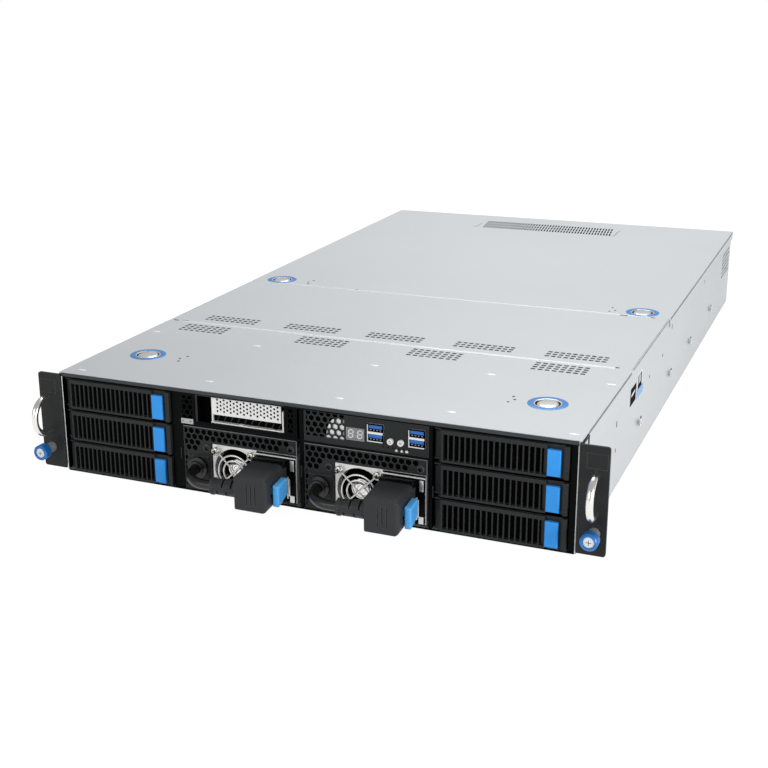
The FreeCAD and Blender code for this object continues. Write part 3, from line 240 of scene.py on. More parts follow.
# %% Finishes of the frame's own nodes
TRAYS = [f"{side}_{level}_tray" for side in SIDES for level in LEVELS]
FANS = [f"fan_rotor_{k}" for k in (1, 2, 3, 4)]
LATCHES = [f"{cover}_{side}_latch" for cover in COVERS for side in SIDES]
carried = {
    zinc: ["base_pan", "front_cover", "middle_bridge", "rear_cover"],
    handle_nickel: ["ear_handles"],
    guard_nickel: ["psu_finger_guards"],
    bracket_steel: ["slot_bracket", "data_ports", "left_psu_case", "right_psu_case"],
    turned_steel: LATCHES,
    powder_black: ["left_ear", "right_ear", "psu_fascias", "io_fascia"],
    black_steel_and_painted_shade: ["front_frame", "cord_glands"],
    tray_black: [f"{tray}_{piece}" for tray in TRAYS for piece in ("carrier", "lever")],
    painted_shade_and_plastic_black: ["left_psu_fan_rotor", "right_psu_fan_rotor", "fan_frames", "rear_power_inlets", *FANS],
    plug_grey: ["left_plug", "right_plug"],
    cord_black: ["left_power_cord", "right_power_cord"],
    tab_blue: [f"{tray}_release_tab" for tray in TRAYS],
    lit_lock_blue: ["left_plug_lock_tab", "right_plug_lock_tab"],
    knob_blue: ["left_thumbscrew", "right_thumbscrew"],
    button_white: ["power_button", "id_button"],
    display_grey: ["status_display"],
    board_green: ["motherboard", "drive_backplanes"],
    fin_aluminium: ["heatsinks"],
}
for material, names in carried.items():
    for name in names:
        nodes[name].data.materials.clear()
        nodes[name].data.materials.append(material)
dressed = {name for names in carried.values() for name in names}
assert dressed == set(nodes), dressed ^ set(nodes)
print("dressed", len(dressed), "nodes")

# %% [markdown]
# ## Camera and studio
# The camera stands in front and to the right, a little above the covers, with a short telephoto lens so
# that the long sides still converge. It is placed by its own measured position and three angles.

# %% Camera
CAMERA_PLACE = Vector((405.4, -1220.2, 405.6)) * MM
CAMERA_TURN, CAMERA_DIP, CAMERA_ROLL = (math.radians(a) for a in (24.04, 17.15, -0.77))
flat_reach = math.cos(CAMERA_DIP)
ahead = Vector(
    (-math.sin(CAMERA_TURN) * flat_reach, math.cos(CAMERA_TURN) * flat_reach, -math.sin(CAMERA_DIP))
)
level_right = Vector((math.cos(CAMERA_TURN), math.sin(CAMERA_TURN), 0))
level_up = level_right.cross(ahead)
right = level_right * math.cos(CAMERA_ROLL) + level_up * math.sin(CAMERA_ROLL)
up = right.cross(ahead)
lens = bpy.data.cameras.new("studio_camera")
lens.lens, lens.sensor_width = 59.88, 36.0
lens.shift_x, lens.shift_y = 0.0623, -0.0264
lens.clip_start, lens.clip_end = 0.05, 50
camera = bpy.data.objects.new("studio_camera", lens)
scene.collection.objects.link(camera)
turn = Matrix((right, up, -ahead)).transposed()
camera.matrix_world = Matrix.Translation(CAMERA_PLACE) @ turn.to_4x4()
scene.camera = camera
scene.view_settings.view_transform = "Standard"

# %% [markdown]
# The studio is white. The floor still takes a shadow, but the camera and the mirrors see it mostly as
# plain white paper, so the background stays clean without flooding the server with light.

# %% Floor and world
LARGER = {"operation": "MAXIMUM"}
PAPER_SHARE = 0.82  # of what the camera and the mirrors see of the floor, this much is plain white
floor_bm = bmesh.new()
bmesh.ops.create_grid(floor_bm, x_segments=1, y_segments=1, size=12)
floor_mesh = bpy.data.meshes.new("studio_floor")
floor_bm.to_mesh(floor_mesh)
floor_bm.free()
floor = bpy.data.objects.new("studio_floor", floor_mesh)
floor.location.z = -0.0002
scene.collection.objects.link(floor)
paper = bpy.data.materials.new("white_paper")
paper.use_nodes = True
tree = paper.node_tree
tree.nodes.remove(tree.nodes["Principled BSDF"])
rays = lay(tree, "ShaderNodeLightPath").outputs
seen = lay(tree, "ShaderNodeMath", LARGER, i0=rays["Is Camera Ray"], i1=rays["Is Glossy Ray"])
seen = lay(tree, "ShaderNodeMath", LARGER, i0=seen.outputs[0], i1=rays["Is Transmission Ray"])
share = lay(tree, "ShaderNodeMath", {"operation": "MULTIPLY"}, i0=seen.outputs[0], i1=PAPER_SHARE)
matt = lay(tree, "ShaderNodeBsdfDiffuse", Color=srgb("#C6C6C6"))
glow = lay(tree, "ShaderNodeEmission", Color=srgb("#FFFFFF"), Strength=1.18)
both = lay(tree, "ShaderNodeMixShader", i0=share.outputs[0], i1=matt.outputs[0], i2=glow.outputs[0])
tree.links.new(both.outputs[0], tree.nodes["Material Output"].inputs["Surface"])
floor_mesh.materials.append(paper)

world = bpy.data.worlds.new("white_studio")
scene.world = world
world.use_nodes = True
tree = world.node_tree
rays = lay(tree, "ShaderNodeLightPath").outputs
direct = lay(tree, "ShaderNodeMath", LARGER, i0=rays["Is Camera Ray"], i1=rays["Is Transmission Ray"])
strength = lay(tree, "ShaderNodeMapRange", Value=direct.outputs[0], To_Min=0.43, To_Max=1.0)
tree.links.new(strength.outputs[0], tree.nodes["Background"].inputs["Strength"])
tree.nodes["Background"].inputs["Color"].default_value = srgb("#FFFFFF")

# %% [markdown]
# Three large soft boxes: a broad one overhead and behind for the sheen on the covers, one in front for
# the dark fascia, and one to the right for the long side wall.


# %% Lamps
def soft_box(name, place, aim, width, height, power):
    lamp = bpy.data.lights.new(name, "AREA")
    lamp.shape, lamp.size, lamp.size_y, lamp.energy = "RECTANGLE", width, height, power
    holder = bpy.data.objects.new(name, lamp)
    holder.location = place
    holder.rotation_euler = (Vector(aim) - Vector(place)).to_track_quat("-Z", "Y").to_euler()
    scene.collection.objects.link(holder)


soft_box("overhead_box", (0.05, 0.5, 1.15), (0.05, 0.4, 0), 0.95, 0.95, 13)
soft_box("front_box", (-0.7, -2.6, 1.0), (-0.05, -0.3, 0.05), 1.8, 1.2, 19)
soft_box("side_box", (1.3, -0.75, 0.24), (0.22, -0.4, 0.05), 0.8, 0.42, 9)
print("camera at", [round(v, 3) for v in camera.location])

# %% [markdown]
# ## Modelling helpers
# Every new part starts as a bmesh in its final place. `block` and `turned` make the two blanks that a
# workshop would start from, bar stock and a lathe piece, and `pressed` pulls a flat face into a plate.
# `piece` closes the work: it merges doubles, points the faces outwards, keeps edges sharp where the angle
# says so, and hangs the part on its body.


# %% Blanks and the last step of a piece
JOIN = 1e-7  # points closer than this, in metres, become one


def block(bm, low, high):
    """Bar stock between two corners given as (x, y behind the front, z) in millimetres."""
    low, high = at(*low), at(*high)
    verts = bmesh.ops.create_cube(bm, size=1)["verts"]
    bmesh.ops.scale(bm, vec=high - low, verts=verts)
    bmesh.ops.translate(bm, vec=(high + low) / 2, verts=verts)
    return verts


def turned(bm, profile, centre, axis="z", steps=40):
    """A lathe piece: (radius, height) points spun about an axis through centre."""
    along = {"x": Vector((1, 0, 0)), "y": Vector((0, 1, 0)), "z": Vector((0, 0, 1))}[axis]
    across = Vector((0, 1, 0)) if axis == "x" else Vector((1, 0, 0))
    verts = [bm.verts.new(centre + (across * r + along * h) * MM) for r, h in profile]
    edges = [bm.edges.new(pair) for pair in zip(verts, verts[1:])]
    bmesh.ops.spin(
        bm, geom=verts + edges, cent=centre, axis=along, angle=2 * math.pi, steps=steps, use_merge=True
    )
    bmesh.ops.remove_doubles(bm, verts=bm.verts, dist=JOIN)


def pressed(bm, corners, thickness):
    """A flat face on corners given as (x, y behind the front, z), pulled into a plate by a vector."""
    face = bm.faces.new([bm.verts.new(at(*corner)) for corner in corners])
    grown = bmesh.ops.extrude_face_region(bm, geom=[face], use_keep_orig=True)["geom"]
    pulled = [part for part in grown if isinstance(part, bmesh.types.BMVert)]
    bmesh.ops.translate(bm, vec=Vector(thickness) * MM, verts=pulled)


def soften(bm, radius, segments=2):
    """Rounds every edge to a radius in millimetres."""
    bmesh.ops.bevel(
        bm, geom=bm.edges[:], offset=radius * MM, offset_type="OFFSET", affect="EDGES",
        segments=segments, profile=0.5, material=-1, clamp_overlap=True,
    )


def piece(name, bm, material, slot, angle=35, body="chassis"):
    """The finished mesh as an object. It rides on the chassis unless another body is named."""
    bmesh.ops.remove_doubles(bm, verts=bm.verts, dist=JOIN)
    bmesh.ops.recalc_face_normals(bm, faces=bm.faces)
    mesh = bpy.data.meshes.new(name)
    bm.to_mesh(mesh)
    bm.free()
    mesh.materials.append(material)
    mesh.shade_smooth()
    mesh.set_sharp_from_angle(angle=math.radians(angle))
    made = bpy.data.objects.new(name, mesh)
    scene.collection.objects.link(made)
    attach(made, body)
    return made


# %% [markdown]
# Many parts are nothing but a few bars with rolled edges, or a single lathe piece. Two short ways save
# writing the same four lines for each, and `span` mirrors a pair of distances to the left or right side.


# %% Short ways for the plainest parts
def bars(name, boxes, material, slot, radius=0.0, segments=2, body="chassis"):
    """A piece of plain bars, each between two corners, all rounded to one radius."""
    bm = bmesh.new()
    for low, high in boxes:
        block(bm, low, high)
    if radius:
        soften(bm, radius, segments)
    piece(name, bm, material, slot, body=body)


def lathe(name, profile, centre, material, slot, axis="z", steps=40, angle=35, body="chassis"):
    """A piece that is one turned shape."""
    bm = bmesh.new()
    turned(bm, profile, centre, axis, steps)
    piece(name, bm, material, slot, angle, body=body)


def span(sign, inner, outer):
    """Two distances from the middle as the low and high x of one side."""
    return sorted((sign * inner, sign * outer))


# %% [markdown]
# ## Covers
# Each lift-off cover is held by two push latches. The real one is a domed steel button, a little narrower
# across than front to back, inside a flat blue ring that tells the technician where to press. A lathe
# piece squeezed across gives the button its oval outline and leaves the dark gap at its two ends.

# %% Push latches: oval steel buttons
CROWN = [(0, 0.66), (3, 0.63), (6, 0.5), (8, 0.3), (9.1, 0.0), (9.6, -0.5), (9.6, -4.6), (0, -4.6)]
SKIRT = [(0, -4.2), (11.0, -4.2), (11.2, -4.4), (11.2, -5.9), (0, -5.9)]
SQUEEZE = 0.87


def latch_centre(latch):
    """The middle of a latch, level with the top of its cover."""
    low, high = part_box(latch)
    return Vector(((low.x + high.x) / 2, (low.y + high.y) / 2, TOP * MM))


for latch in LATCHES:
    middle = latch_centre(latch)
    bm = bmesh.new()
    turned(bm, CROWN, middle)
    bmesh.ops.scale(bm, vec=(SQUEEZE, 1, 1), space=Matrix.Translation(-middle), verts=bm.verts)
    turned(bm, SKIRT, middle)
    button = piece(f"{latch}_button", bm, turned_steel, "chrome_steel", body=latch)
    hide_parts(latch)
print("latch crown above the cover", CROWN[0][1], "mm")

# %% [markdown]
# The blue ring is a thin anodised washer set in the cover, with a narrow bright rim inside it where the
# punched hole was coined. Both are lathe pieces a few tenths of a millimetre thick. A black well at the
# bottom of the gap round the oval button paints the shade in that gap, so its inner wall follows the
# button's squeeze.

# %% Blue rings, bright rims and painted shade wells
RING = [(11.2, -0.2), (11.2, 0.26), (11.5, 0.34), (15.1, 0.34), (15.6, 0.12), (15.65, -0.2)]
RIM = [(9.95, -0.5), (9.95, 0.2), (10.2, 0.32), (10.9, 0.32), (11.15, 0.1), (11.15, -0.2)]
SHADE_WELL = [(9.72, -1.2), (9.72, -0.5), (9.85, -0.5), (9.85, -1.2)]
SHADE_WELL_MIDDLE, SHADE_WELL_SQUEEZE = 9.78, 0.872
for latch in LATCHES:
    middle, cover = latch_centre(latch), latch.split("_")[0] + "_cover"
    lathe(f"{latch}_ring", RING, middle, ring_blue, "blue_plastic", steps=64, body=cover)
    lathe(f"{latch}_rim", RIM, middle, turned_steel, "chrome_steel", steps=64, body=cover)
    bm = bmesh.new()
    turned(bm, SHADE_WELL, middle, steps=64)
    for vert in bm.verts:
        if (vert.co - middle).xy.length < SHADE_WELL_MIDDLE * MM:
            vert.co.x = middle.x + (vert.co.x - middle.x) * SHADE_WELL_SQUEEZE
    piece(f"{latch}_well", bm, painted_shade_and_plastic_black, "black_plastic", body=cover)
print("latch rings", len(LATCHES))

# %% [markdown]
# Under each group of vents a thin black sheet lies just under the steel, with one low pad rising into
# each hole, so the holes are painted black as the shade of the inside.


# %% Painted shade under the vents
UNDER = TOP - 1  # the covers are 1 mm thick


def vent_shade_sheet(name, x0, x1, y0, y1, body, holes, width, length, lean=0.0, drop=0.05, thick=0.12):
    """A black sheet under the steel as painted shade, with a pad a little smaller than each hole (x, y)
    standing up in it.
    """
    bm = bmesh.new()
    block(bm, (x0, y0, UNDER - drop - thick), (x1, y1, UNDER - drop))
    soften(bm, 0.03, 1)
    for x, y in holes:
        low, high = (x - width / 2, y - length / 2), (x + width / 2, y + length / 2)
        for vert in block(bm, (*low, UNDER - drop), (*high, TOP - 0.4)):
            vert.co.x += lean * (vert.co.y / MM - FRONT - y) / length * MM
    piece(name, bm, painted_shade_and_plastic_black, "black_plastic", body=body)


def rows(x0, y0, columns, lines, pitch, line_pitch, lean=0.0):
    """Hole centres of one group of vents, line by line."""
    return [(x0 + pitch * i + lean * j, y0 + line_pitch * j) for j in range(lines) for i in range(columns)]


FRONT_GROUPS = (-193.6, -74.0, 32.9, 143.1)
BRIDGE_GROUPS = (-187.7, -104.3, -21.9, 61.8, 144.2)
for k, x0 in enumerate(FRONT_GROUPS):
    holes = rows(x0, 152.5, 8, 4, 5.95, 5.85)
    vent_shade_sheet(f"front_vent_shield_{k + 1}", x0 - 4, x0 + 46, 149.5, 173.5, "front_cover", holes, 3.9, 3.2)
holes = [hole for x0 in BRIDGE_GROUPS for hole in rows(x0, 192.5, 10, 3, 5.44, 6.2)]
vent_shade_sheet("bridge_vent_painted_shade", -203, 203, 188, 208, "chassis", holes, 3.7, 3.4, 0, 0.1, 0.4)
holes = rows(-78.5, 723.5, 46, 3, 3.58, 15.2, -1.85)
vent_shade_sheet("rear_vent_painted_shade", -86, 88, 714, 763, "rear_cover", holes, 1.6, 12.8, -1.6, 0.1, 0.4)
print("vent_shade_sheets", len(FRONT_GROUPS) + 2, "rear holes", len(holes))

# %% [markdown]
# The covers are not bare sheets. Spot welds leave shallow bumps, painted pale as a painted highlight,
# small dark rivet ends stand beside the latches, and the two seams show a bright edge, a painted
# highlight, with a notch near each end. All of them are only a few millimetres across, so each is a
# small lathe piece or a bar.

# %% Bumps and rivet ends
# A pale steel: the real colour of the thumbscrew's screw end, and painted highlight on the weld bumps, the
# seams and the wall's front edge.
pale_steel_and_highlight = finish("pale_steel_and_painted_highlight", "#F3F5F5", "#ECEFEF", 30, 0.2, 0.35, 0.8, 0.05, (1, 1, 1), 0.3)
BUMPS = (
    (-205.5, 11.4), (-90.6, 23.4), (24.3, 23.3), (115.3, 25), (212, 12.2),
    (115.6, 125), (212, 134.5), (-209.7, 137), (-101.5, 129), (17.3, 113),
)
RIVETS = {
    "front_cover": ((-145.6, 70), (-142.6, 78), (-142.9, 63), (148.6, 76.8), (151.5, 69.9), (148.3, 62.8)),
    "rear_cover": (
        (-161, 364.4), (-158.4, 372.7), (-158.4, 358), (161.8, 372.5), (166.2, 363.2), (161.7, 358.2),
    ),
}
bm = bmesh.new()
for x, y in BUMPS:
    centre = at(x, y, TOP)
    turned(bm, [(0, 0.34), (0.9, 0.3), (1.6, 0.14), (1.9, -0.1)], centre, steps=14)
    weld = [v for v in bm.verts if (v.co - centre).length < 3 * MM]
    bmesh.ops.scale(bm, vec=(2.2, 0.9, 1), space=Matrix.Translation(-centre), verts=weld)
piece("front_cover_weld_bumps", bm, pale_steel_and_highlight, "zinc_steel", 60, body="front_cover")
for body, places in RIVETS.items():
    bm = bmesh.new()
    for x, y in places:
        turned(bm, [(0, 0.16), (0.8, 0.14), (1.2, 0.02), (1.25, -0.1)], at(x, y, TOP), steps=12)
    piece(f"{body}_rivet_ends", bm, black_steel_and_painted_shade, "black_steel", 60, body=body)
print("bumps", len(BUMPS), "rivets", sum(len(places) for places in RIVETS.values()))

# %% [markdown]
# The front edge of the cover is folded down where it meets the trays and faces away from the light, so a
# lip painted dark grey as painted shade runs right across under the bright top. Along the sides the same
# fold leaves a fine shadow line, painted as a dark grey hem. Both are long bars with rolled edges, which
# hold the light better than a painted line would.

# %% Folded lips and side hems
# The lip's dark grey is painted shade; the same grey is the real print of the button marks.
lip_shade_and_mark_grey = finish("shaded_zinc_lip_and_mark_grey", "#3C3F42", "#34373A", 40, 0.4, 0.38, 0.8, 0.1, (1, 1, 1), 0.3)
hem_steel = finish("shaded_zinc_hem", "#62676B", "#5A5F63", 60, 0.4, 0.4, 0.8, 0.1, (1, 0.2, 1), 0.3)
HEMS = (("front_cover", 22, 172, 2.5), ("chassis", 181, 346, 1.3), ("rear_cover", 356, 795, 2.6))
lip = [((-218.6, -0.4, TOP - 3.4), (218.6, 0.0, TOP - 0.45))]
bars("front_cover_lip", lip, lip_shade_and_mark_grey, "zinc_steel", 0.15, body="front_cover")
bars("pan_front_lip", [((-218.2, 0.1, 0.0), (218.2, 0.9, 1.25))], black_steel_and_painted_shade, "black_steel", 0.2)
for body, y0, y1, drop in HEMS:
    folds = [span(sign, SIDE - 0.1, SIDE + 0.12) for sign in (-1, 1)]
    boxes = [((x0, y0, TOP - drop), (x1, y1, TOP - 0.4)) for x0, x1 in folds]
    bars(f"{body}_side_hems", boxes, hem_steel, "zinc_steel", 0.08, 1, body=body)
print("lips", 2, "hems", 2 * len(HEMS))

# %% [markdown]
# Where two covers meet, each sheet is sheared and rolled slightly upwards. The rolled edges catch the
# lamp as one bright line right across the server, and that line is a painted highlight: two low bars, one
# on each sheet, carry it in a pale colour. Small black bars near the ends paint the shade of the slots in
# which the covers hook.

# %% Painted highlight on the seams, and painted shade in their notches
SEAMS = (
    ("front_seam_near", "front_cover", 176.1, 177.9),
    ("front_seam_far", "chassis", 178.2, 179.5),
    ("rear_seam_near", "chassis", 348.4, 349.3),
    ("rear_seam_far", "rear_cover", 349.7, 350.5),
)
NOTCHES = (
    (-216, -211, 178.9), (-206.8, -200, 179.8), (205.2, 208.8, 179.6),
    (-101.5, -98, 350.9), (174, 181, 348.0), (203, 207, 348.4),
)
VENT_MARKS = (
    (-93, -88, 718.6, 719.6), (-88, -87.2, 718.6, 742), (88.5, 89.3, 716, 752), (84, 88.5, 716, 717),
)
for name, body, y0, y1 in SEAMS:
    bars(name, [((-206, y0, TOP - 0.05), (206, y1, TOP + 0.3))], pale_steel_and_highlight, "zinc_steel", 0.14, body=body)
boxes = [((x0, y - 0.5, TOP - 0.05), (x1, y + 0.5, TOP + 0.34)) for x0, x1, y in NOTCHES]
bars("seam_notch_shade", boxes, black_steel_and_painted_shade, "black_steel", 0.1, 1)
boxes = [((x0, y0, TOP - 0.05), (x1, y1, TOP + 0.08)) for x0, x1, y0, y1 in VENT_MARKS]
bars("rear_vent_corner_marks", boxes, hem_steel, "zinc_steel", body="rear_cover")
print("seams", len(SEAMS))

# %% [markdown]
# ## Rack ears
# Each ear is powder-coated black, but the flange behind it was masked, so the bare zinc shows between the
# ear and the side wall with only its rim black. The front edge of the wall is a pale bar, a painted
# highlight, and the jamb inside it is painted. On the ear itself a shallow frame is pressed for an asset
# number, which stays blank. All are thin bars, listed with their distances from the middle.

# %% Flange skins, chassis edges and pressed frames
EAR_BARS = (
    ("ear_bare_flange", 220.95, 221.15, [(1.2, 6.5, 16.6, 83.8)], zinc, "zinc_steel", 0.06, 1),
    ("chassis_edge_highlight", 218.4, 219.1, [(-0.2, 1.4, 0.95, 84.0)], pale_steel_and_highlight, "zinc_steel", 0.2, 2),
    (
        "ear_flange_rim", 219.45, 221.25, [(17.4, 6.0, 21.6, 85.2), (0.6, 84.2, 19.0, 86.6)],
        black_steel_and_painted_shade, "black_steel", 0.25, 2,
    ),
    ("painted_jamb", 218.1, 218.38, [(0.15, 1.4, 6.0, 84.2)], black_steel_and_painted_shade, "black_steel", 0.06, 1),
)
for side, sign in SIDE_SIGNS:
    for name, inner, outer, strips, material, slot, radius, segments in EAR_BARS:
        x0, x1 = span(sign, inner, outer)
        boxes = [((x0, y0, z0), (x1, y1, z1)) for y0, z0, y1, z1 in strips]
        bars(f"{side}_{name}", boxes, material, slot, radius, segments)
    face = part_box(f"{side}_ear")[0].y / MM - FRONT
    x0, x1 = span(sign, 224.6, 240.0)
    strips = [(x0, 68.5, x1, 69.0), (x0, 79.8, x1, 80.3)]
    strips += [(x0, 69.0, x0 + 0.5, 79.8), (x1 - 0.5, 69.0, x1, 79.8)]
    boxes = [((a0, face - 0.12, z0), (a1, face + 0.1, z1)) for a0, z0, a1, z1 in strips]
    bars(f"{side}_ear_pressed_frame", boxes, powder_black, "black_steel", 0.05, 1)
print("ear skins", len(SIDE_SIGNS))

# %% [markdown]
# ## Side walls
# Four shoulder studs on each wall hang the server in its rails. Their faces are turned bright and drilled,
# and a black disc in each drilling paints its shade. A small spring catch stands beside each. Low dark
# plugs in the sheet's punched holes paint the shade inside them.

# %% Stud faces, catches, and painted shade in the drillings and holes
WALL = 219.4
STUD_PLACES, STUD_HEIGHT, STUD_REACH = (220.0, 370.5, 490.5, 634.0), 28, 2.6
STUD_RIM = ((1.4, -0.1), (1.5, 0.2), (3.1, 0.2), (3.55, -0.1))
STUD_HOLE_SHADE = ((0, 0.06), (1.3, 0.06), (1.4, -0.1))
WALL_HOLES = (
    (374, 74.5, 2.6), (329, 58, 1.6), (264, 56.5, 1.6), (580, 72, 1.8), (127, 57.5, 2.6), (127, 35, 1.6),
)
for side, sign in SIDE_SIGNS:
    studs, drilled, dark = bmesh.new(), bmesh.new(), bmesh.new()
    catch, hole = span(sign, WALL, WALL + 0.5), span(sign, WALL - 0.9, WALL + 0.06)
    for y in STUD_PLACES:
        centre = at(sign * (WALL + STUD_REACH), y, STUD_HEIGHT)
        turned(studs, [(r, h * sign) for r, h in STUD_RIM], centre, "x", 24)
        turned(drilled, [(r, h * sign) for r, h in STUD_HOLE_SHADE], centre, "x", 16)
        block(dark, (catch[0], y + 11.5, 27.5), (catch[1], y + 14.5, 29.3))
    for y, z, tall in WALL_HOLES:
        block(dark, (hole[0], y - 1.3, z - tall), (hole[1], y + 1.3, z + tall))
    soften(dark, 0.1, 1)
    piece(f"{side}_stud_faces", studs, nickel, "polished_steel")
    piece(f"{side}_stud_drilling_shade", drilled, black_steel_and_painted_shade, "black_steel")
    piece(f"{side}_wall_dark_marks", dark, black_steel_and_painted_shade, "black_steel")
print("stud faces", 2 * len(STUD_PLACES))

# %% [markdown]
# The cut-outs near the front of the right wall show a side connector: a grey slot in a white frame over a
# black base, and a pale blue label, left blank, under it. Each is a flat outline pulled a few tenths of a
# millimetre out of the wall, so its corners are written once and its depth is a pair of numbers.


# %% The connector in the right wall
def oblong(a0, b0, a1, b1):
    """The four corners of a rectangle."""
    return (a0, b0), (a1, b0), (a1, b1), (a0, b1)


def wall_plates(name, plates, material, slot, radius, segments=1):
    """Flat shapes as (y behind the front, z) corners, each from one depth to another out of the wall."""
    bm = bmesh.new()
    for outline, inner, outer in plates:
        x0, x1 = WALL + inner, WALL + outer
        pressed(bm, [(x0, y, z) for y, z in outline], (x1 - x0, 0, 0))
    soften(bm, radius, segments)
    piece(name, bm, material, slot)


label_blue = finish("pale_blue_label_film", "#7FB0E6", "#76A8E0", 8, 0.0, 0.4, 0.6, 0.04, edge=0.1)
base = (
    (((178.5, 54.8), (201.5, 54.8), (202.5, 70.0), (179.5, 70.0)), -0.3, 0.1),
    (oblong(208.2, 60.6, 228.6, 74.6), -0.9, -0.2),
)
surround = (
    (oblong(207.2, 61.0, 209.2, 74.9), -0.3, 0.12),
    (oblong(226.8, 61.0, 228.8, 74.9), -0.3, 0.12),
    (oblong(209.2, 73.2, 226.8, 74.9), -0.3, 0.12),
    (((183.0, 62.2), (197.5, 63.4), (197.5, 65.4), (183.0, 64.2)), -0.1, 0.2),
)
wall_plates("side_connector_base", base, painted_shade_and_plastic_black, "black_plastic", 0.05)
wall_plates("side_connector_frame", surround, bracket_steel, "white_plastic", 0.08)
slot_face = [(oblong(213.0, 65.0, 222.5, 72.2), -0.3, 0)]
wall_plates("side_connector_slot", slot_face, label_grey, "zinc_steel", 0.1, 2)
film = [(oblong(206.0, 52.8, 234.5, 60.2), -0.1, 0.1)]
wall_plates("side_label_film", film, label_blue, "blue_plastic", 0.05)
crease = [((WALL, 24, 76.6), (WALL + 0.12, 150, 77.1))]
bars("front_cover_side_crease", crease, hem_steel, "zinc_steel", 0.04, 1, body="front_cover")
print("side connector", 1)

# %% [markdown]
# The thumbscrew is three parts on one axis: a knurled blue knob, a bright cross-recessed screw end in its
# face, and a steel ferrule behind it. The knob starts as a lathe piece whose rim faces are inset and
# pushed in one by one, which is how a knurl looks at this size.

# %% Thumbscrews
KNOB = [
    (0, -18.6), (4.3, -18.6), (4.5, -19.9), (5.4, -20), (6.3, -19.1), (6.3, -11.6), (5.6, -10.6), (0, -10.6),
]
SHANK = [
    (0, -10.7), (4.4, -10.7), (4.4, -1.75), (2.6, -1.75), (2.6, 0.7),
    (2.9, 0.8), (2.9, 8.0), (2.2, 9.0), (0, 9.0),
]
SCREW_END = [(0, -19.2), (3.4, -19.2), (4.1, -18.9), (4.2, -18.4), (0, -18.4)]
RIM_FACE = 5e-6  # square metres: of the faces that run along the axis, only those of the rim are larger
for side in SIDES:
    screw = f"{side}_thumbscrew"
    low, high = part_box(screw)
    middle = Vector(((low.x + high.x) / 2, FRONT * MM, (low.z + high.z) / 2))
    bm = bmesh.new()
    turned(bm, KNOB, middle, "y", 36)
    rim = [f for f in bm.faces if abs(f.normal.y) < 0.1 and f.calc_area() > RIM_FACE]
    bmesh.ops.inset_individual(bm, faces=rim, thickness=0.2 * MM, depth=0.0)
    bmesh.ops.inset_individual(bm, faces=rim, thickness=0.05 * MM, depth=-0.28 * MM)
    knob = piece(f"{screw}_knob", bm, knob_blue, "blue_plastic", body=screw)
    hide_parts(screw)
    lathe(f"{screw}_steel", SHANK, middle, turned_steel, "polished_steel", "y", 32, body=screw)
    lathe(f"{screw}_face", SCREW_END, middle, pale_steel_and_highlight, "polished_steel", "y", 32, body=screw)
    x, z = middle.x / MM, middle.z / MM
    # The cross recess is grey bars on the bright face, painted shade in the recess.
    cross = [((x - i, -19.3, z - j), (x + i, -19.1, z + j)) for i, j in ((0.3, 2.0), (2.0, 0.3))]
    bars(f"{screw}_recess", cross, display_grey, "black_plastic", body=screw)
print("thumbscrews", len(SIDES))

# %% [markdown]
# ## Drive trays
# Behind the slotted lever a black sheet stands as painted shade, so the slots read dark and no light
# comes through. Two lamps sit in the end post: a clear light pipe for power and one for activity.

# %% Painted shade behind the tray levers, and light pipes
lens_clear = finish("smoked_light_pipe", "#3A423F", "#343C39", 2, 0.0, 0.3, 0.3, 0.05, edge=0.05)
LIGHT_PIPE = [(0, -0.95), (0.4, -0.9), (0.56, -0.7), (0.56, 0.0), (0, 0)]
for side in SIDES:
    for level in LEVELS:
        x, z, body = TRAY_LEFT[side], TRAY_FLOOR[level], f"{side}_{level}_tray"
        bm = bmesh.new()
        block(bm, (x + 9.0, 2.3, z + 2.4), (x + 84.5, 2.9, z + 22.8))
        front = [f for f in bm.faces if f.normal.y < -0.9]
        bmesh.ops.inset_region(bm, faces=front, thickness=1.0 * MM, depth=-0.2 * MM)
        piece(f"{body}_lever_slot_shade", bm, painted_shade_and_plastic_black, "black_plastic", body=body)
        bm = bmesh.new()
        for height in (7.1, 17.8):
            turned(bm, LIGHT_PIPE, at(x + 101.4, -1.0, z + height), "y", 10)
        piece(f"{body}_light_pipes", bm, lens_clear, "white_plastic", body=body)
print("lever_slot_shades", len(SIDES) * len(LEVELS))

# %% [markdown]
# ## Power supply bays
# The left part of each supply is a bright steel fan plate. The right part is a black moulded housing
# round the mains inlet, so only a thin line of steel is left above it and beside it, and three bright
# spring tabs hold it. The honeycomb above looks into the dark, so a black sheet stands close behind it as
# painted shade and stops short of the right end, where light leaks in.


# %% Inlet housings, and painted shade behind the honeycomb
def bay_boxes(left, strips, y0, y1):
    """Boxes from strips given as (x0, x1, z0, z1) from a bay's left edge, between two depths."""
    return [((left + x0, y0, z0), (left + x1, y1, z1)) for x0, x1, z0, z1 in strips]


gland_black = finish("black_nylon_gland", "#19191A", "#131314", 7, 0.0, 0.27, 0.6, 0.12, edge=0.5)
nodes["cord_glands"].data.materials[0] = gland_black
GLAND_ACROSS, AXIS_HEIGHT = 13.5, 22.0
BOSS = [
    (4.3, -6.0), (5.9, -6.0), (6.3, -5.6), (6.3, -3.6), (8.4, -3.3), (8.9, -2.8), (8.9, -0.25), (4.3, -0.25),
]
HOUSING_FACE = 5e-4  # square metres: only the front of the large block is larger
SURROUND = ((65.9, 99.9, 3.4, 39.9), (65.9, 100.4, 40.9, 42.6))
MOUTH = ((66.4, 92.8, 34.1, 39.4), (66.4, 92.8, 10.4, 16.3), (66.4, 67.4, 16.3, 34.1))
SPRINGS = ((95.6, 98.8, 30.0, 39.0), (93.6, 95.2, 8.6, 23.0), (95.0, 99.0, 3.6, 9.6))
PANEL_EDGES = ((0.6, 101.6, 55.45, 55.95), (101.2, 101.7, 3.0, 55.45))
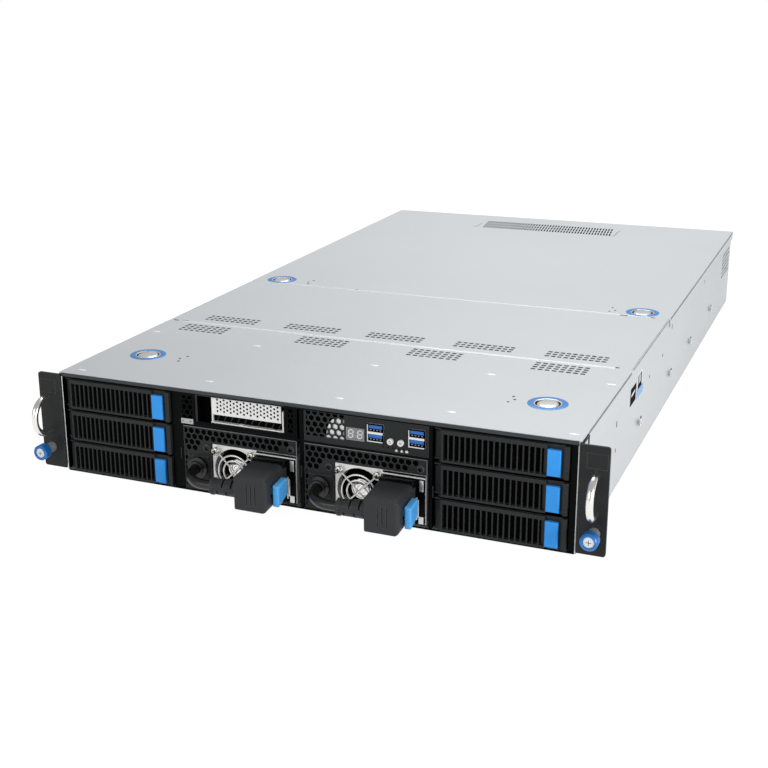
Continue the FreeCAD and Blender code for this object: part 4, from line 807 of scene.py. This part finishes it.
HONEYCOMB_SHADE = ((1.3, 88.0, 43.1, 55.0), (1.3, 25.4, 32.7, 43.3), (1.3, 3.1, 3.0, 32.9))
for side in SIDES:
    left = BAY_LEFT[side]
    bm = bmesh.new()
    for low, high in bay_boxes(left, SURROUND, 0.9, 1.96):
        block(bm, low, high)
    plate = [f for f in bm.faces if f.normal.y < -0.9 and f.calc_area() > HOUSING_FACE]
    bmesh.ops.inset_region(bm, faces=plate, thickness=0.7 * MM, depth=0.15 * MM)
    for low, high in bay_boxes(left, MOUTH, -9.4, 1.4):
        block(bm, low, high)
    soften(bm, 0.6)
    piece(f"{side}_inlet_housing", bm, black_steel_and_painted_shade, "black_plastic")
    springs = bay_boxes(left, SPRINGS, 0.35, 0.95)
    bars(f"{side}_inlet_springs", springs, turned_steel, "zinc_steel", 0.25)
    centre = at(left + GLAND_ACROSS, 0, AXIS_HEIGHT)
    lathe(f"{side}_gland_boss", [*BOSS, BOSS[0]], centre, gland_black, "black_rubber", "y", 48)
    # A pale grey bar along the top and the right edge of the black panel is a painted highlight.
    edges = bay_boxes(left, PANEL_EDGES, 0.45, 0.82)
    bars(f"{side}_fascia_edge", edges, edge_highlight_grey, "black_steel", 0.1, 1)
    backs = bay_boxes(left, HONEYCOMB_SHADE, 2.15, 2.6)
    bars(f"{side}_honeycomb_shade_sheet", backs, painted_shade_and_plastic_black, "black_plastic")
print("inlet housings", len(SIDES))

# %% [markdown]
# The fan's hub carries a bright pressed disc, the one thing that shines deep inside the guard. The guard
# is held by four domed screws with a cross recess, and the black panel by two smaller ones.


# %% Hub discs and screws
def screw_heads(name, places, y, radius, height, material, slot):
    """Domed heads facing forwards, and the cross recess in each as a second piece: black bars, painted shade.
    """
    arm, thin = radius * 0.55, radius * 0.13
    dome = [(0, -height), (arm, -height * 0.92), (radius * 0.9, -height * 0.55), (radius, -0.05), (radius, 0)]
    heads, recess = bmesh.new(), []
    for x, z in places:
        turned(heads, dome, at(x, y, z), "y", 20)
        for wide, tall in ((arm, thin), (thin, arm)):
            recess.append(((x - wide, y - height - 0.06, z - tall), (x + wide, y - height * 0.5, z + tall)))
    piece(name, heads, material, slot, 50)
    bars(f"{name}_recess", recess, painted_shade_and_plastic_black, "black_plastic")


# The screw heads' edges are painted pale grey, a painted highlight.
SCREW_EDGE_HIGHLIGHT = {"edge": 0.6, "worn": "#A4A6A8"}
screw_black = finish("black_oxide_screw", "#17181A", "#101113", 3, 0.3, 0.35, 0.4, 0.1, **SCREW_EDGE_HIGHLIGHT)
FAN_ACROSS, FAN_HEIGHT, GUARD_PITCH = 46.2, 22.2, 32
HUB = [(0, -0.75), (3, -0.75), (3.4, -0.4), (7.6, -0.4), (8.3, -0.1), (8.3, 0.2)]
WASHER = [(2.45, 0.0), (2.45, -0.28), (2.85, -0.22), (2.95, 0.0), (2.45, 0.0)]
for side in SIDES:
    left = BAY_LEFT[side]
    x = left + FAN_ACROSS
    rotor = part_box(f"{side}_psu_fan_rotor")[0].y / MM - FRONT
    centre = at(x, rotor, FAN_HEIGHT)
    lathe(f"{side}_fan_hub_disc", HUB, centre, nickel, "polished_steel", "y", body=f"{side}_psu_fan")
    half = GUARD_PITCH / 2
    corners = [(x + half * i, FAN_HEIGHT + half * j) for i in (-1, 1) for j in (-1, 1)]
    screw_heads(f"{side}_guard_screws", corners, -2.2, 3.35, 0.9, screw_steel, "polished_steel")
    small = ((left + 21.0, 38.5), (left + 96.3, 48.0))
    screw_heads(f"{side}_panel_screws", small, 0.8, 2.4, 0.9, screw_black, "black_steel")
    bm = bmesh.new()
    for x, z in small:
        turned(bm, WASHER, at(x, 0.8, z), "y", 28)
    piece(f"{side}_panel_screw_rings", bm, hem_steel, "polished_steel", 50)
print("screws", len(SIDES) * (len(corners) + len(small)))

# %% [markdown]
# ## Control panel
# The honeycomb at the panel's left looks onto a bright bracket on its right half and into the dark on its
# left half. Both are plates close behind the panel, and the black plates are painted shade. The display
# is unlit, so its two digits are pale segments on grey: each segment is a flat six-sided bar, and each
# digit leans a little.


# %% Backing plates and the display's digits
def plate_of(bm, outline, y0, y1):
    """A flat shape given as (x, z) corners, between two depths behind the front edge."""
    pressed(bm, [(x, y0, z) for x, z in outline], (0, y1 - y0, 0))


bm = bmesh.new()
plate_of(bm, ((22.2, 62.2), (37.6, 62.2), (37.6, 79.0), (29.5, 79.0), (26.0, 75.6), (23.4, 70.5)), 2.45, 2.75)
soften(bm, 0.05, 1)
piece("panel_bright_bracket", bm, bracket_steel, "zinc_steel")
backs = (
    ((PANEL_LEFT + 1.0, 2.8, 62.0), (PANEL_LEFT + 34.2, 3.1, 82.4)),
    ((PANEL_LEFT + 63.5, 2.5, 60.3), (PANEL_LEFT + 85.0, 2.8, 62.5)),
)
bars("panel_shade_back", backs, painted_shade_and_plastic_black, "black_plastic", 0.05, 1)
DIGITS_ACROSS, DIGITS_HEIGHT, LEAN = (43.3, 50.9), 68.5, 0.09
STROKES = [(0, z, 1.5, False) for z in (-3.1, 0, 3.1)]
STROKES += [(x, z, 1.4, True) for x in (-1.8, 1.8) for z in (-1.55, 1.55)]
bm = bmesh.new()
for x in DIGITS_ACROSS:
    for dx, dz, half, upright in STROKES:
        tip = half - 0.5
        ends = ((-half, 0), (-tip, 0.5), (tip, 0.5), (half, 0), (tip, -0.5), (-tip, -0.5))
        corners = [(dx + (b if upright else a), dz + (a if upright else b)) for a, b in ends]
        plate_of(bm, [(x + a + LEAN * b, DIGITS_HEIGHT + b) for a, b in corners], 1.36, 1.52)
piece("display_digits", bm, segment_pale, "white_plastic")
print("digits", len(DIGITS_ACROSS))

# %% [markdown]
# Each socket has a blue tongue along its upper half and below it a mouth painted black as the shade
# inside the socket, in which the contacts glint. A raised dark lip runs along the top and the right side
# of each pair. Three small plain shapes stand on the panel's foot.

# %% Socket tongues, contacts, panel lips and panel marks
SOCKET_COLUMNS = [PANEL_LEFT + x for x in (53.15, 86.45)]
SOCKET_FLOORS = (65.2, 72.6)
tongues, mouth_shades, contacts, lips, marks = (bmesh.new() for _ in range(5))
for x in SOCKET_COLUMNS:
    for z in SOCKET_FLOORS:
        block(mouth_shades, (x + 0.66, 0.8, z + 0.06), (x + 12.74, 1.1, z + 5.54))
        block(tongues, (x + 1.3, 0.45, z + 2.6), (x + 12.1, 0.9, z + 5.3))
        for k in range(4):
            block(contacts, (x + 2.4 + 2.6 * k, 0.5, z + 1.3), (x + 3.5 + 2.6 * k, 0.85, z + 1.9))
    block(lips, (x + 12.7, 0.24, 64.3), (x + 13.6, 0.42, 79.2))
    block(lips, (x - 0.2, 0.24, 78.1), (x + 12.7, 0.42, 79.2))
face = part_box("io_fascia")[0].y / MM - FRONT
for x, top in ((80.6, 0.4), (84.9, 0.4), (88.9, 1.0)):
    outline = ((x - 1.2, 59.2), (x + 1.2, 59.2), (x + top, 61.0), (x - top, 61.0))
    plate_of(marks, outline, face - 0.06, face + 0.1)
soften(tongues, 0.2)
soften(mouth_shades, 0.1, 1)
soften(contacts, 0.08, 1)
soften(lips, 0.06, 1)
soften(marks, 0.03, 1)
piece("port_panel_lips", lips, painted_shade_and_plastic_black, "black_steel")
piece("panel_marks", marks, segment_pale, "white_plastic")
piece("port_tongues", tongues, tongue_blue, "blue_plastic")
piece("port_mouth_shade", mouth_shades, painted_shade_and_plastic_black, "black_plastic")
piece("port_contacts", contacts, contact_grey, "polished_steel")
print("sockets", len(SOCKET_COLUMNS) * len(SOCKET_FLOORS))

# %% [markdown]
# The two round buttons carry the plainest marks: a ring with a stroke, and a ring with a dot.

# %% Button marks
for name in ("power_button", "id_button"):
    low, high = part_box(name)
    middle = Vector(((low.x + high.x) / 2, low.y, (low.z + high.z) / 2))
    x, y, z = middle.x / MM, middle.y / MM - FRONT, middle.z / MM
    bm = bmesh.new()
    turned(bm, [(0.8, 0.05), (0.8, -0.06), (1.05, -0.06), (1.05, 0.05), (0.8, 0.05)], middle, "y", 20)
    if name == "power_button":
        block(bm, (x - 0.12, y - 0.07, z + 0.2), (x + 0.12, y + 0.05, z + 1.4))
    else:
        turned(bm, [(0, -0.07), (0.3, -0.07), (0.32, 0.05)], middle, "y", 12)
    piece(f"{name}_mark", bm, lip_shade_and_mark_grey, "black_plastic", body=name)
print("buttons", 2)

# %% [markdown]
# ## Expansion slot
# The slot is a black recess with the perforated steel filler in it. A ribbed contact gasket closes the gap
# under the filler, a black sheet behind the filler paints its holes dark as painted shade, and a small
# bright dome on the lip is a painted highlight. Beside the recess is a small pale label plate, which stays
# blank.

# %% Recess rim, gasket, backing and label plate
s = BAY_LEFT["left"]
backs = (
    ((s + 26.5, 5.0, 67.5), (s + 87.1, 5.3, 82.2)),
    ((s + 14.1, 10.0, 58.5), (s + 91.0, 10.4, 82.4)),
    ((s + 11.2, 1.3, 60.0), (s + 12.2, 1.42, 83.0)),
)
bars("slot_shade_back", backs, painted_shade_and_plastic_black, "black_plastic", 0.05, 1)
gasket = [((s + 26.5, 5.9, 61.7), (s + 87.6, 6.8, 67.2))]
bars("slot_gasket", gasket, painted_shade_and_plastic_black, "black_rubber", 0.08, 1)
bm = bmesh.new()
for k in range(10):
    x = s + 29.0 + 6.1 * k
    plate_of(bm, ((x, 62.6), (x + 0.9, 62.6), (x + 3.3, 66.8), (x + 2.4, 66.8)), 5.6, 5.95)
soften(bm, 0.08, 1)
piece("slot_gasket_ribs", bm, tray_black, "black_rubber")
rim = (((s + 12.3, 0.95, 60.4), (s + 13.9, 1.42, 83.2)), ((s + 12.3, 0.95, 82.6), (s + 91.2, 1.42, 83.4)))
bars("slot_recess_rim", rim, powder_black, "black_steel", 0.15)
bm = bmesh.new()
block(bm, (s - 1.3, 0.85, 57.5), (s + 9.7, 1.38, 61.8))
front = [f for f in bm.faces if f.normal.y < -0.9]
bmesh.ops.inset_region(bm, faces=front, thickness=0.4 * MM, depth=-0.08 * MM)
soften(bm, 0.06, 1)
piece("slot_label_plate", bm, label_grey, "zinc_steel")
bm = bmesh.new()
for x in (0.4, 7.4):
    turned(bm, [(0, -0.12), (0.4, -0.1), (0.55, 0.0)], at(s + x, 0.9, 59.6), "y", 12)
piece("slot_label_rivets", bm, black_steel_and_painted_shade, "black_steel", 60)
highlight_dome, place = [(0, 0.4), (1.3, 0.38), (2.0, 0.2), (2.1, 0.02), (2.1, -0.1)], at(s + 51.5, 5.0, 61.6)
lathe("slot_lip_highlight", highlight_dome, place, bracket_steel, "polished_steel", "z", 24, 50)
clips = [((x, 0.55, 26.5), (x + 0.8, 1.1, 36.0)) for x in (-106.9, 1.0, 109.6)]
bars("module_clips", clips, powder_black, "black_steel", 0.2)
print("slot pieces", 7, "module clips", len(clips))

# %% [markdown]
# ## Under the covers
# With the rear cover off, the board shows what a service technician sees: eight memory modules standing
# in black sockets with ivory latches, power chokes and capacitors in rows, a few flat packages, a small
# finned chip, a coin cell and the screws at the board's feet. They are simple bars and lathe pieces,
# because only their outline and finish tell at this distance.

# %% Memory modules in their sockets
# The packages' edges are painted a paler grey, a painted highlight.
CHIP_EDGE_HIGHLIGHT = {"edge": 0.2, "worn": "#3A3B3D"}
chip_black = finish("black_epoxy_package", "#1B1C1D", "#161718", 5, 0.0, 0.45, 0.5, 0.15, **CHIP_EDGE_HIGHLIGHT)
MODULES_ACROSS = (-160, -149, -26, -15, 9, 20, 143, 154)
sockets, modules, chips, catches = [], [], [], []
for x in MODULES_ACROSS:
    middle = x + 3.2
    sockets.append(((x - 0.2, 401.8, 8.8), (x + 6.6, 542.2, 20.7)))
    modules.append(((middle - 0.65, 405.3, 19.0), (middle + 0.65, 538.7, 50.0)))
    for k in range(8):
        chips.append(((middle - 1.9, 409.5 + 16.1 * k, 26), (middle + 1.9, 421 + 16.1 * k, 42)))
    for y in (402.2, 537.8):
        catches.append(((x + 0.7, y, 19.5), (x + 5.7, y + 4.0, 31.0)))
bars("memory_sockets", sockets, chip_black, "black_plastic", 0.3, 1)
bars("memory_modules", modules, board_green, "circuit_board", 0.3, 1)
bars("memory_chips", chips, chip_black, "black_plastic", 0.3, 1)
bars("memory_latches", catches, slot_beige, "white_plastic", 0.3, 1)
print("memory modules", len(MODULES_ACROSS))

# %% [markdown]
# Packages are moulded epoxy blocks with crisp edges. Chokes are pressed ferrite, which comes out of its
# press rounder and duller, so they get a larger radius and a greyer finish.

# %% Packages and chokes
PACKAGES = (
    (-85, 640, 20, 20), (85, 640, 14, 20), (-140, 600, 12, 12), (140, 600, 16, 10),
    (32, 580, 10, 14), (-32, 580, 14, 10), (0, 470, 7, 7), (0, 505, 7, 12),
)
POWER_ROWS = (-122, 44)
packages = [((x - w / 2, y - d / 2, 8.4), (x + w / 2, y + d / 2, 10.4)) for x, y, w, d in PACKAGES]
packages += [((x - 0.3, 606.6, 8.6), (x + 8.3, 692.4, 19.8)) for x in (-110, -60, 60, 110)]
bars("board_packages", packages, chip_black, "black_plastic", 0.3, 1)
choke_grey = finish("ferrite_choke", "#6A6D70", "#5F6265", 4, 0.1, 0.5, 0.6, 0.25, edge=0.4)
chokes = [((x + 11 * k, 386, 8.5), (x + 8 + 11 * k, 394, 15.5)) for x in POWER_ROWS for k in range(7)]
bars("board_chokes", chokes, choke_grey, "black_plastic", 1.0)
print("packages", len(packages), "chokes", len(chokes))

# %% [markdown]
# Aluminium capacitors are drawn cans with a groove near the foot. The screws and the coin cell are round
# as well, so all of them share one mesh of lathe pieces. A connector is a block whose top face is inset
# and pushed down, which leaves an open shell.

# %% Capacitors, screws, coin cell, heatsink and connectors
BOARD_TOP = 8.6
CAN = [(0, 8.6), (3.1, 8.6), (3.5, 8.2), (3.5, 1.0), (3.2, 0.4), (3.5, -0.2)]
FOOT_SCREW = [(0, 2.2), (2.0, 2.1), (3.2, 1.3), (3.4, 0.2), (3.4, -0.2)]
COIN_CELL = [(0, 4.2), (9.2, 4.2), (9.9, 3.7), (10.0, 0.8), (10.0, -0.2)]
POWER_SOCKETS = (
    (-160, 560, 10, 52), (150, 560, 10, 26), (-8, 376, 16, 7), (-46, 376, 16, 7), (26, 376, 16, 7),
)
cans = bmesh.new()
for x in POWER_ROWS:
    for k in range(8):
        turned(cans, CAN, at(x + 10.5 * k, 553, BOARD_TOP), steps=16)
for x in (-153, 153):
    for y in (384, 537, 690):
        turned(cans, FOOT_SCREW, at(x, y, BOARD_TOP), steps=20)
turned(cans, COIN_CELL, at(135, 650, BOARD_TOP), steps=40)
piece("board_cans_and_screws", cans, turned_steel, "polished_steel", 50)
fins = [((-18, 622, 8.4), (18, 658, 12.0))]
fins += [((-18 + 3.87 * k, 622, 11.5), (-16.8 + 3.87 * k, 658, 24.0)) for k in range(10)]
bars("board_small_heatsink", fins, fin_aluminium, "heatsink_aluminium", 0.12, 1)
shells = bmesh.new()
for x, y, wide, long in POWER_SOCKETS:
    shell = block(shells, (x, y, 8.4), (x + wide, y + long, 18.5))
    top = [f for f in shells.faces if f.normal.z > 0.9 and all(v in shell for v in f.verts)]
    bmesh.ops.inset_region(shells, faces=top, thickness=1.2 * MM, depth=0.0)
    bmesh.ops.translate(shells, vec=(0, 0, -5 * MM), verts=list({v for f in top for v in f.verts}))
soften(shells, 0.2, 1)
piece("board_power_sockets", shells, slot_beige, "white_plastic")
print("connectors", len(POWER_SOCKETS))

# %% [markdown]
# The relief of each plug is cut by open half rings, and the black jacket of the lead shows at the bottom
# of every ring. A lathe piece along the relief, tilted as the relief is, gives the rings their dark floor.

# %% Jackets inside the strain reliefs
RELIEF = ((32.5, -25.5, 18.9), (66.9, -25.5, 20.9))
for side in SIDES:
    start, end = (at(BAY_LEFT[side] + x, y, z) for x, y, z in RELIEF)
    bm = bmesh.new()
    turned(bm, [(4.2, 12.0), (5.06, 12.2), (5.06, 32.4), (4.2, 32.6)], Vector((0, 0, 0)), "x", 32)
    tilt = Vector((1, 0, 0)).rotation_difference((end - start).normalized()).to_matrix().to_4x4()
    bmesh.ops.transform(bm, matrix=Matrix.Translation(start) @ tilt, verts=bm.verts)
    piece(f"{side}_relief_jacket", bm, cord_black, "black_rubber", body=f"{side}_plug")
print("relief jackets", len(SIDES))

# %% [markdown]
# The power lead leaves its gland, bends round and enters the relief of its own plug, so it is a fixed
# loop of 52 mm whose one end moves when the plug is pulled. It is drawn as one smooth spline with the
# construction's own route as its control points, and a mesh tube follows it.

# %% Power leads
LEAD_RADIUS = 4 * MM
LEAD_ROUTE = (
    (13.5, -2.4, 22.0), (13.5, -11.4, 22.0), (17.2, -19.6, 20.9),
    (24.2, -24.6, 19.6), (32.5, -25.5, 18.9), (49.5, -25.5, 19.9),
)


def spline(name, points, radius):
    """A NURBS curve through its own control points, with a round section where radius isn't 0."""
    curve = bpy.data.curves.new(name, "CURVE")
    curve.dimensions = "3D"
    curve.bevel_depth, curve.bevel_resolution, curve.resolution_u = radius, 6, 16
    curve.use_fill_caps = True
    run = curve.splines.new("NURBS")
    run.points.add(len(points) - 1)
    for knot, place in zip(run.points, points):
        knot.co = (*place, 1)
    run.order_u, run.use_endpoint_u = 3, True
    made = bpy.data.objects.new(name, curve)
    scene.collection.objects.link(made)
    return made


for side in SIDES:
    points = [at(BAY_LEFT[side] + x, y, z) for x, y, z in LEAD_ROUTE]
    line = spline(f"{side}_lead_line", points, 0.0)
    tube = spline(f"{side}_lead_tube", points, LEAD_RADIUS)
    bpy.context.view_layer.update()
    path = [v.co.copy() for v in bpy.data.meshes.new_from_object(line).vertices]
    mesh = bpy.data.meshes.new_from_object(tube)
    mesh.name = f"{side}_power_lead"
    mesh.materials.clear()
    mesh.materials.append(cord_black)
    mesh.shade_smooth()
    lead = bpy.data.objects.new(f"{side}_power_lead", mesh)
    scene.collection.objects.link(lead)
    bpy.data.objects.remove(line)
    bpy.data.objects.remove(tube)
    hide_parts(f"{side}_power_cord")
    ends = [nodes[f"{side}_plug"], nodes[f"{side}_plug_lock_tab"]]
    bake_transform(lead)
